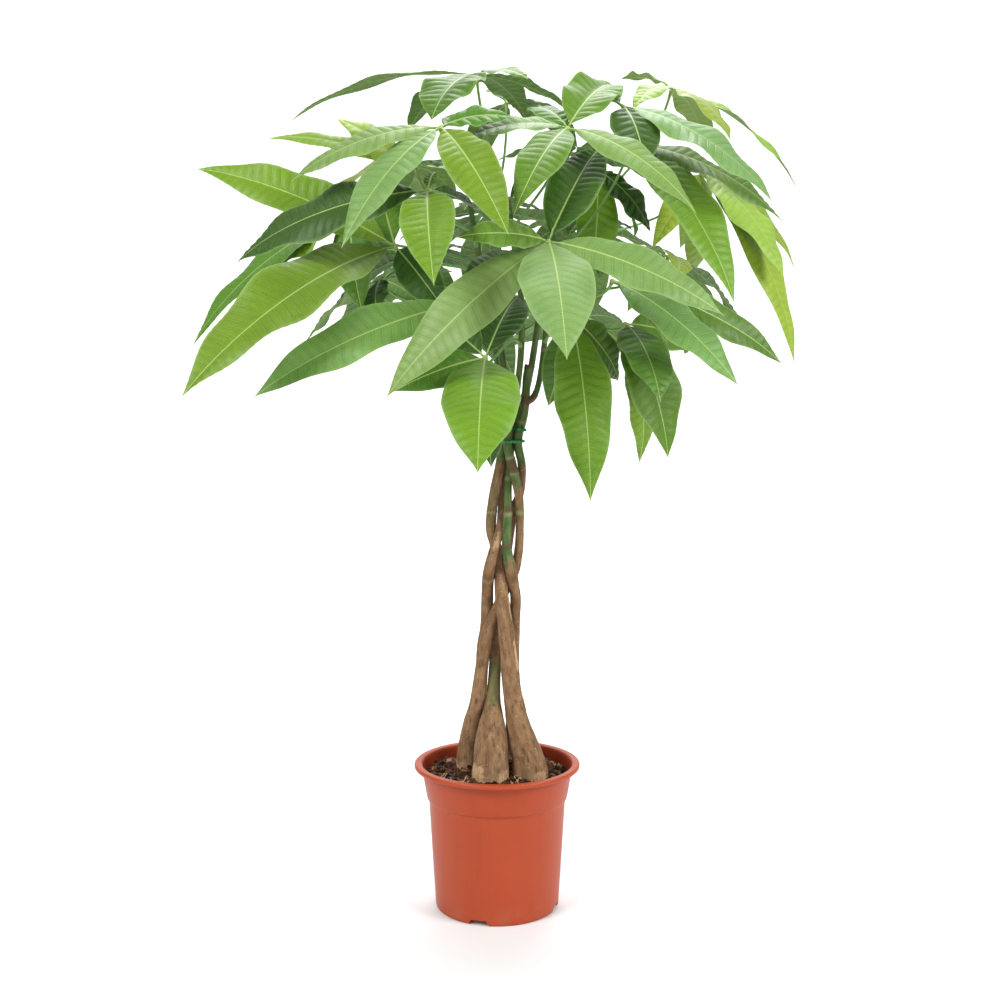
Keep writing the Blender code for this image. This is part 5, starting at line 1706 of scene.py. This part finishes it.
@dataclass
class CrownPlan:
    """Works out each leaf's place: the tables give it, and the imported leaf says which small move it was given."""

    routes: dict[str, tuple[Array, Array]]
    nodes: dict[str, bpy.types.Object]

    def facing(self, hub: Array, lean: float) -> Array:
        """The way a leaf looks: out from the crown's middle and up, and forward as far as it leans."""
        return unit(unit(hub - CROWN_CENTRE) * 0.45 + np.array((0, -lean, 0.7)))

    def node_points(self, name: str) -> Array:
        """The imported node's points.

        Args:
            name: the node's name.

        Returns:
            Its points in metres.
        """
        mesh = self.nodes[name].data
        points = np.empty(len(mesh.vertices) * 3, np.float32)
        mesh.vertices.foreach_get("co", points)
        return points.reshape(-1, 3).astype(float)

    def joint(self, stem: str, height: float) -> tuple[Array, float, Array]:
        """Centre, radius and direction of a stem's packed route at a height.

        Args:
            stem: the stem's name.
            height: the height.

        Returns:
            The centre, the radius and the direction.
        """
        centres, radii = self.routes[stem]
        i = int(np.clip(np.searchsorted(centres[:, 2], height) - 1, 0, len(centres) - 2))
        if height > centres[-1, 2]:
            return centres[-1], radii[-1], np.array((0.0, 0, 1))
        t = (height - centres[i, 2]) / (centres[i + 1, 2] - centres[i, 2])
        centre = centres[i] + (centres[i + 1] - centres[i]) * t
        return centre, radii[i] + t * (radii[i + 1] - radii[i]), unit(centres[i + 1] - centres[i])

    def stalk(self, stem: str, height: float, hub: Array, facing: Array, turn: float) -> tuple[Array, Array]:
        """Control points of a stalk from the hub down to its stem, and the way it leaves the stem.

        Args:
            stem: the stem's name.
            height: the joint's height.
            hub: the hub.
            facing: the way the leaf looks.
            turn: how far round its stem it moved.

        Returns:
            The control points and the way.
        """
        joint, radius, ahead = self.joint(stem, height)
        out = spun(square_to(hub - joint, ahead), ahead, math.radians(turn))
        foot = joint + out * (radius + GAP)
        reach = np.linalg.norm(hub - foot)
        top = hub - facing * HUB_THICKNESS
        leave = unit(out + np.array((0, 0, 0.7)))
        return np.array((top, top - facing * reach * 0.30, foot + leave * reach * 0.30, foot)), out

    def settled_stalk(self, stem: str, height: float, hub: Array, facing: Array, points: Array) -> Array:
        """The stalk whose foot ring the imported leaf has: four of its points lie on that ring.

        Args:
            stem: the stem's name.
            height: the joint's height.
            hub: the hub.
            facing: the way the leaf looks.
            points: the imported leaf's points.

        Returns:
            The control points.
        """
        best, best_error = None, math.inf
        for turn, rise in itertools.product(STALK_TURNS, STALK_RISES):
            controls, out = self.stalk(stem, height + rise, hub, facing, turn)
            away = points - controls[3]
            error = np.abs(np.linalg.norm(away, axis=1) - PETIOLE_RADIUS) + np.abs(away @ out)
            score = np.sort(error)[:4].sum()
            if score < best_error:
                best, best_error = controls, score
        return best

    def tip_corners(self, hub: Array, facing: Array, tips: Array) -> Array:
        """The four corners of a packed leaflet's last section, for each of some tips.

        Args:
            hub: the hub.
            facing: the way the leaf looks.
            tips: the tips.

        Returns:
            Four corners for each tip.
        """
        controls = midrib(hub, facing, tips)
        ahead = unit(controls[3] - cubic(controls, np.full(len(tips), 0.98)))
        face = square_to(np.broadcast_to(facing, ahead.shape), ahead)
        across = np.cross(ahead, face)
        half, thick = TIP_WIDTH / 2, BLADE_THICKNESS / 2
        signs = itertools.product((-1, 1), repeat=2)
        return np.stack([tips + across * half * a + face * thick * b for a, b in signs], axis=1)

    def settled_leaflet(
        self, hub: Array, facing: Array, tip: Array, width: float, tone: Tone, points: Array
    ) -> Leaflet | None:
        """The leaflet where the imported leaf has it, or None where it was left out.

        Every size and move is tried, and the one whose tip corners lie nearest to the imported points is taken.

        Args:
            hub: the hub.
            facing: the way the leaf looks.
            tip: its tip in the table.
            width: its width.
            tone: its colouring.
            points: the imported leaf's points.

        Returns:
            The leaflet or None.
        """
        moves = np.array([(*nudge, size) for size in SHRINKS for nudge in NUDGES])
        reach = np.broadcast_to(tip - hub, (len(moves), 3))
        reach = spun(reach, np.broadcast_to(facing, reach.shape), np.radians(moves[:, :1]))
        beside = unit(np.cross(facing, reach))
        reach = spun(reach, beside, np.radians(-moves[:, 1:2])) * moves[:, 2:]
        corners = self.tip_corners(hub, facing, hub + reach)
        nearest = np.linalg.norm(corners[:, :, None] - points, axis=-1).min(axis=2).mean(axis=1)
        found = int(np.argmin(nearest))
        if nearest[found] > MOST_MISMATCH:
            return None
        return Leaflet(hub + reach[found], width * moves[found, 2], tone)

    def round_tips(
        self,
        hub: Array,
        facing: Array,
        count: int,
        length: float,
        width: float,
        droop: float,
        turn: float,
    ) -> tuple[Array, Array]:
        """Tips and widths of evenly spread leaflets.

        Each points at its own angle round the facing, turned down by the droop; the longest hangs forward.

        Args:
            hub: the hub.
            facing: the way the leaf looks.
            count: how many leaflets.
            length: their length.
            width: their width.
            droop: how far they droop, in degrees.
            turn: the first one's turn, in degrees.

        Returns:
            The tips and the widths.
        """
        ahead = square_to(np.array((facing[0], facing[1], -1.0)), facing)
        beside = np.cross(facing, ahead)
        angle = (math.radians(turn) + 2 * math.pi * np.arange(count) / count)[:, None]
        size = 1 - 0.16 * (1 - np.cos(angle))
        fall = math.radians(droop)
        flat = ahead * np.cos(angle) + beside * np.sin(angle)
        out = flat * math.cos(fall) - facing * math.sin(fall)
        return hub + out * length * size * CM, width * size[:, 0] * CM

    def leaf(
        self,
        number: int,
        name: str,
        stem: str,
        height: float,
        hub: Array,
        facing: Array,
        tips: Array,
        widths: Array,
        tones: str,
    ) -> LeafPlan:
        """One leaf's plan from its table row.

        Args:
            number: its place in the tables.
            name: its node's name.
            stem: its stem's name.
            height: its joint's height.
            hub: the hub.
            facing: the way the leaf looks.
            tips: its leaflets' tips.
            widths: their widths.
            tones: a letter for each leaflet.

        Returns:
            The plan.
        """
        points = self.node_points(name)
        found = [
            self.settled_leaflet(hub, facing, tip, width, Tone(tone), points)
            for tip, width, tone in zip(tips, widths, tones)
        ]
        stalk = self.settled_stalk(stem, height * CM, hub, facing, points)
        kept = tuple(leaflet for leaflet in found if leaflet)
        return LeafPlan(name, hub, facing, kept, stalk, LEAF_SLOTS[number % len(LEAF_SLOTS)])

    def leaves(self) -> list[LeafPlan]:
        """Every leaf's plan, in the order of the tables.

        Returns:
            The plans.
        """
        plans = []
        for name, (stem, height, hub, lean, leaflets, tones) in PLACED_LEAVES.items():
            middle = np.array(hub) * CM
            rows = np.array(leaflets) * CM
            facing = self.facing(middle, lean)
            tips, widths = rows[:, :3], rows[:, 3]
            plans.append(self.leaf(len(plans), name, stem, height, middle, facing, tips, widths, tones))
        for name, (stem, height, hub, count, length, width, droop, turn, tones) in ROUND_LEAVES.items():
            middle = np.array(hub) * CM
            facing = self.facing(middle, 0.0)
            tips, widths = self.round_tips(middle, facing, count, length, width, droop, turn)
            plans.append(self.leaf(len(plans), name, stem, height, middle, facing, tips, widths, tones))
        return plans


def midrib(hub: Array, facing: Array, tips: Array) -> Array:
    """Control points of midribs: each leaves the hub's rim, and its two middle points stand over the straight line
    from hub to tip by a share of its length.

    Args:
        hub: the leaf's hub.
        facing: the way the leaf faces.
        tips: one tip, or a row for each leaflet.

    Returns:
        Four control points, each shaped as tips.
    """
    reach = tips - hub
    length = np.linalg.norm(reach, axis=-1, keepdims=True)
    over = square_to(np.broadcast_to(facing, reach.shape), reach / length)
    start = hub + unit(reach / length + over * 0.25) * (HUB_RADIUS * 0.9)
    first = hub + reach * 0.30 + over * length * MIDRIB_ARCH
    second = hub + reach * 0.72 + over * length * MIDRIB_ARCH
    return np.array((start, first, second, tips))


@dataclass
class Blade:
    """How a leaflet's blade is shaped. Shares are of the half width unless they say otherwise."""

    stations: int = 92
    columns: int = 11
    stalk_share: float = 0.035
    rise: float = 0.84
    fall: float = 1.14
    fold: float = 0.30
    curl: float = 0.24
    wave: float = 0.12
    quilt: float = 0.85 * MM
    vein_spacing: float = 8.6 * MM
    vein_slant: float = 0.62
    skin: float = 0.22 * MM
    rib_height: float = 1.0 * MM

    def half_width(self, s: Array, width: float, fall: float) -> Array:
        """Half the blade's width along it: a power of the place times a power of what is left, scaled to reach the
        full width once, drawn to a fine point at the end, and never under the little stalk's radius at the start.

        Args:
            s: places along it from 0 to 1.
            width: the full width.
            fall: the power of what is left.

        Returns:
            Half widths in metres.
        """
        place = np.clip((s - self.stalk_share) / (1 - self.stalk_share), 0, 1)
        peak = self.rise / (self.rise + fall)
        share = (place / peak) ** self.rise * ((1 - place) / (1 - peak)) ** fall
        share = share * (1 - 0.42 * np.exp(-(1 - place) / 0.07))
        stalk = 1.15 * MM * (1 - smooth_step(0.0, 0.16, s)) + 0.05 * MM
        return np.sqrt((share * width / 2) ** 2 + stalk**2)

    def surface(self, hub: Array, facing: Array, leaflet: Leaflet, random: np.random.Generator) -> Surface:
        """A closed leaflet.

        At each station the section runs from the right edge under the blade to the left edge and back over it.
        The blade's middle surface is folded up from the midrib and curls down to its edges, waves near them, and
        bulges between the side veins. Its underside has the midrib's ridge.

        Args:
            hub: the hub.
            facing: the way the leaf looks.
            leaflet: the leaflet.
            random: the random draws.

        Returns:
            The leaflet.
        """
        s = np.linspace(0, 1, self.stations)
        controls = midrib(hub, facing, leaflet.tip)
        middle = cubic(controls, s)
        ahead = directions(middle)
        length = float(np.linalg.norm(np.diff(middle, axis=0), axis=1).sum())
        face = square_to(np.broadcast_to(facing, ahead.shape), ahead)
        twist = random.normal(0, 0.10) * s + random.normal(0, 0.05)
        face = spun(face, ahead, twist[:, None])
        across = np.cross(ahead, face)
        fall = self.fall + random.uniform(-0.10, 0.10)
        half = self.half_width(s, leaflet.width, fall)[:, None]

        t = np.linspace(-1, 1, 2 * self.columns + 1)
        u = t * (0.42 + 0.58 * np.abs(t))
        under = u[::-1]
        over = u[1:-1]
        side = np.concatenate([under, over])[None, :]
        top = np.concatenate([np.zeros(len(under)), np.ones(len(over))])[None, :]
        away = np.abs(side)

        bend = np.sqrt(away**2 + 0.012) - math.sqrt(0.012)
        fold = self.fold * random.uniform(0.5, 1.35)
        curl = self.curl * random.uniform(0.6, 1.3)
        lift = half * (fold * bend - curl * away**2)
        waves = random.uniform(2.0, 3.6, 2)
        starts = random.random(2) * 2 * math.pi
        right = np.sin(2 * math.pi * waves[0] * s[:, None] + starts[0])
        left = np.sin(2 * math.pi * waves[1] * s[:, None] + starts[1])
        ripple = np.where(side > 0, right, left) * self.wave * random.uniform(0.6, 1.4)
        lift = lift + half * ripple * away**2 * smooth_step(0.1, 0.3, s)[:, None]

        count = max(7.0, round(length * (1 - self.stalk_share) / self.vein_spacing))
        slant = self.vein_slant * (away - 0.22 * away**2) * half / length
        phase = count * (s[:, None] - self.stalk_share - slant + 0.06 * (away * half / length) ** 0.5) + 40
        swell = np.abs(np.sin(math.pi * phase)) ** 0.8
        quilt = self.quilt * leaflet.tone.quilting * random.uniform(0.8, 1.2)
        quilt = quilt * smooth_step(0.04, 0.3, away) * (1 - 0.6 * smooth_step(0.75, 1.0, away))
        lift = lift + quilt * (swell - 0.5) * smooth_step(0.5, 5.0, half / MM)

        taper = 1 - 0.75 * s[:, None]
        near_hub = (1 - smooth_step(0.0, 0.14, s))[:, None]
        round_part = np.sqrt(np.maximum(1 - away**2, 0)) * 0.95 * MM * near_hub
        rim = 1 - away**6
        rib = self.rib_height * taper * np.exp(-((away * half / (1.25 * MM * taper)) ** 2))
        rib = rib * smooth_step(0.3, 2.5, half / MM)
        below = -(self.skin + 0.8 * rib) * rim - round_part
        above = (self.skin + 0.18 * rib) * rim + round_part
        height = lift + np.where(top > 0, above, below)
        rings = middle[:, None] + across[:, None] * (side * half)[..., None]
        rings = rings + face[:, None] * height[..., None]
        made = closed_tube(rings)

        hue = np.array(leaflet.tone.colour) * random.uniform(0.86, 1.16)
        hue = hue * np.array((random.uniform(0.86, 1.16), 1, random.uniform(0.8, 1.2)))
        off_rib = away * half / MM
        shape = phase.shape
        parts = (away, s[:, None], phase, 1 - top)
        blade = np.stack([np.broadcast_to(part, shape) for part in parts], axis=-1)
        ends = np.array([(0, 0, 40, 0), (0, 1, 40, 0)])
        rows = np.vstack([blade.reshape(-1, 4), ends])
        fourth = np.concatenate([off_rib.ravel(), [0, 0]])
        colours = np.column_stack([np.broadcast_to(hue, (len(rows), 3)), fourth])
        return made.with_values(blade=rows, hue=colours)


@dataclass
class Crown:
    """All leaves: each is a stalk, a hub and its leaflets in one mesh."""

    finishes: dict[str, LeafFinish]
    stalk_finish: StalkFinish
    plans: list[LeafPlan]
    blade: Blade = field(default_factory=Blade)
    stalk_radius: float = 1.35 * MM
    stalk_green: Colour = (0.120, 0.265, 0.050)
    stalk_tip: Colour = (0.270, 0.420, 0.090)
    hub_green: Colour = (0.300, 0.420, 0.095)
    seed: int = 47

    def stalk(self, plan: LeafPlan, random: np.random.Generator) -> Surface:
        """The stalk along its cubic path, thicker just under the hub and at its foot, which reaches the stem.

        Args:
            plan: the leaf.
            random: the random draws.

        Returns:
            The stalk.
        """
        s = np.linspace(0, 1, 40)
        centres = cubic(plan.stalk, s)
        centres[-1] += unit(centres[-1] - centres[-2]) * 1.2 * MM
        swell = 0.55 * np.exp(-((s / 0.035) ** 2)) + 0.75 * np.exp(-(((1 - s) / 0.06) ** 2))
        radii = self.stalk_radius * (1 + swell)
        reference = np.cross(plan.facing, unit(plan.stalk[3] - plan.stalk[0])) + 0.013
        made = swept(centres, radii, 12, unit(reference))
        base = np.array(self.stalk_green) * random.uniform(0.85, 1.25)
        tip = np.array(self.stalk_tip)
        share = np.repeat(np.exp(-s / 0.12), 12)[:, None]
        colours = base + (tip - base) * np.vstack([share, [[1.0], [0.0]]])
        return made.with_values(hue=np.column_stack([colours, np.ones(len(colours))]), blade=(0, 0, 40, 0))

    def hub(self, plan: LeafPlan) -> Surface:
        """The hub: a flattened ball whose outline swells a little towards each leaflet.

        Args:
            plan: the leaf.

        Returns:
            The hub.
        """
        across = square_to(np.array((1.0, 0.3, 0)), plan.facing)
        beside = np.cross(plan.facing, across)
        tilt = np.linspace(-0.42, 0.42, 9) * math.pi
        turn = np.linspace(0, 2 * math.pi, 30, endpoint=False)
        reach = np.array([leaflet.tip - plan.hub for leaflet in plan.leaflets])
        toward = np.arctan2(reach @ beside, reach @ across)
        gap = np.abs((turn[:, None] - toward + math.pi) % (2 * math.pi) - math.pi).min(axis=1)
        radius = HUB_RADIUS * (0.62 + 0.34 * np.exp(-((gap / 0.30) ** 2)))
        flat = across * np.cos(turn)[:, None] + beside * np.sin(turn)[:, None]
        rings = plan.hub + flat[None] * (np.cos(tilt)[:, None] * radius)[..., None]
        rings = rings + plan.facing * (np.sin(tilt) * 1.9 * MM - 0.1 * MM)[:, None, None]
        made = closed_tube(rings)
        made.material = 1
        return made.with_values(hue=(*self.hub_green, 1.0), blade=(0, 0, 40, 0))

    def build(self, mottle: bpy.types.NodeTree, specks: bpy.types.NodeTree) -> None:
        """Makes every leaf.

        Args:
            mottle: the shared mottling group.
            specks: the shared spots group.
        """
        looks = {slot: finish.make(mottle, specks) for slot, finish in self.finishes.items()}
        stalk_look = self.stalk_finish.make(mottle, specks)
        for number, plan in enumerate(self.plans):
            random = np.random.default_rng(self.seed + number)
            surfaces = [
                self.blade.surface(plan.hub, plan.facing, leaflet, random) for leaflet in plan.leaflets
            ]
            stalk = self.stalk(plan, random)
            stalk.material = 1
            surfaces += [stalk, self.hub(plan)]
            piece = make_piece(plan.name + "_blades", surfaces, [looks[plan.slot], stalk_look])
            settle(piece, plan.slot, plan.name)


# ---------------------------------------------------------------- studio


@dataclass(frozen=True)
class Lamp:
    """A square soft light: its place, its side in metres, its power in watts and where it looks."""

    name: str
    place: Place
    size: float
    power: float
    target: Place = (0, 0, 0.45)


LAMPS = (
    Lamp("key_left", (-1.6, -1.5, 2.0), 1.0, 56),
    Lamp("key_right", (1.9, -1.1, 1.6), 1.0, 50),
    Lamp("top_back", (0.2, 1.2, 2.4), 1.2, 30),
    Lamp("fill_front", (0.0, -2.6, 0.9), 1.6, 14),
    Lamp("wall_wash", (0.0, 1.6, 2.7), 2.2, 118, (0.0, 4.0, 0.6)),
)


@dataclass
class Studio:
    """A pale floor that runs up into a wall, five soft lights, an even surround and the camera."""

    floor: FloorFinish
    lamps: tuple[Lamp, ...] = LAMPS
    lens: float = 47.4
    sensor: float = 36.0
    place: Place = (0.003, -1.329, 0.534)
    tilt: float = 85.1
    surround: float = 0.36
    half_width: float = 8.0
    front: float = -6.0
    back: float = 9.0
    wall_start: float = 2.4
    wall_radius: float = 1.6
    columns: int = 33
    rows: int = 76

    def build_floor(self) -> None:
        """A floor that runs up into a wall behind: flat, then a quarter circle, then upright."""
        radius, start = self.wall_radius, self.wall_start
        run = np.linspace(self.front, self.back, self.rows)
        angle = np.clip((run - start) / radius, 0, math.pi / 2)
        depth = np.minimum(run, start) + radius * np.sin(angle)
        height = radius * (1 - np.cos(angle)) + np.maximum(run - start - radius * math.pi / 2, 0)
        x = np.linspace(-self.half_width, self.half_width, self.columns)
        points = np.stack(np.broadcast_arrays(x[:, None], depth, height), axis=-1).reshape(-1, 3)
        i, j = np.meshgrid(np.arange(self.columns - 1), np.arange(self.rows - 1), indexing="ij")
        corner = (i * self.rows + j).reshape(-1, 1)
        quads = corner + np.array((0, self.rows, self.rows + 1, 1))
        make_piece("studio_floor", [Surface(points, quads)], [self.floor.make()])

    def light(self, lamp: Lamp) -> None:
        """Makes one light and turns it to its target.

        Args:
            lamp: the lamp.
        """
        data = bpy.data.lights.new(lamp.name, "AREA")
        data.size = lamp.size
        data.energy = lamp.power
        made = bpy.data.objects.new(lamp.name, data)
        made.location = lamp.place
        away = np.array(lamp.target) - np.array(lamp.place)
        flat = math.hypot(away[0], away[1])
        turn = math.atan2(away[1], away[0]) - math.pi / 2
        made.rotation_euler = (math.atan2(flat, -away[2]), 0.0, turn)
        bpy.context.scene.collection.objects.link(made)

    def build(self) -> None:
        """Makes the floor, the lights, the surround and the camera."""
        self.build_floor()
        for lamp in self.lamps:
            self.light(lamp)
        world = bpy.data.worlds.new("surround")
        world.use_nodes = True
        background = world.node_tree.nodes["Background"]
        background.inputs["Color"].default_value = (1, 1, 1, 1)
        background.inputs["Strength"].default_value = self.surround
        bpy.context.scene.world = world
        camera = bpy.data.cameras.new("camera")
        camera.lens = self.lens
        camera.sensor_width = self.sensor
        made = bpy.data.objects.new("camera", camera)
        made.location = self.place
        made.rotation_euler = (math.radians(self.tilt), 0.0, 0.0)
        bpy.context.scene.collection.objects.link(made)
        bpy.context.scene.camera = made
        bpy.context.scene.view_settings.view_transform = "Standard"


def main() -> None:
    """Builds the studio, the pot, the soil, the stems, the ties and the leaves."""
    logging.basicConfig(level=logging.INFO, format="%(message)s")
    Studio(FloorFinish()).build()
    mottle, specks = mottle_group(), speck_group()
    Pot(PlasticFinish()).build(mottle, specks)
    Soil(SoilFinish(), ChipFinish(), [stem.foot() for stem in STEMS]).build(mottle, specks)
    braid = Braid(BarkFinish())
    braid.build(mottle, specks)
    Ties(WireFinish(), braid.routes()).build(mottle, specks)
    plans = CrownPlan(braid.routes(), frame["nodes"]).leaves()
    LOG.info("%d leaflets on %d leaves", sum(len(plan.leaflets) for plan in plans), len(plans))
    finishes = {slot: LeafFinish(slot + "_blade") for slot in LEAF_SLOTS}
    Crown(finishes, StalkFinish(), plans).build(mottle, specks)


if __name__ == "__main__":
    main()
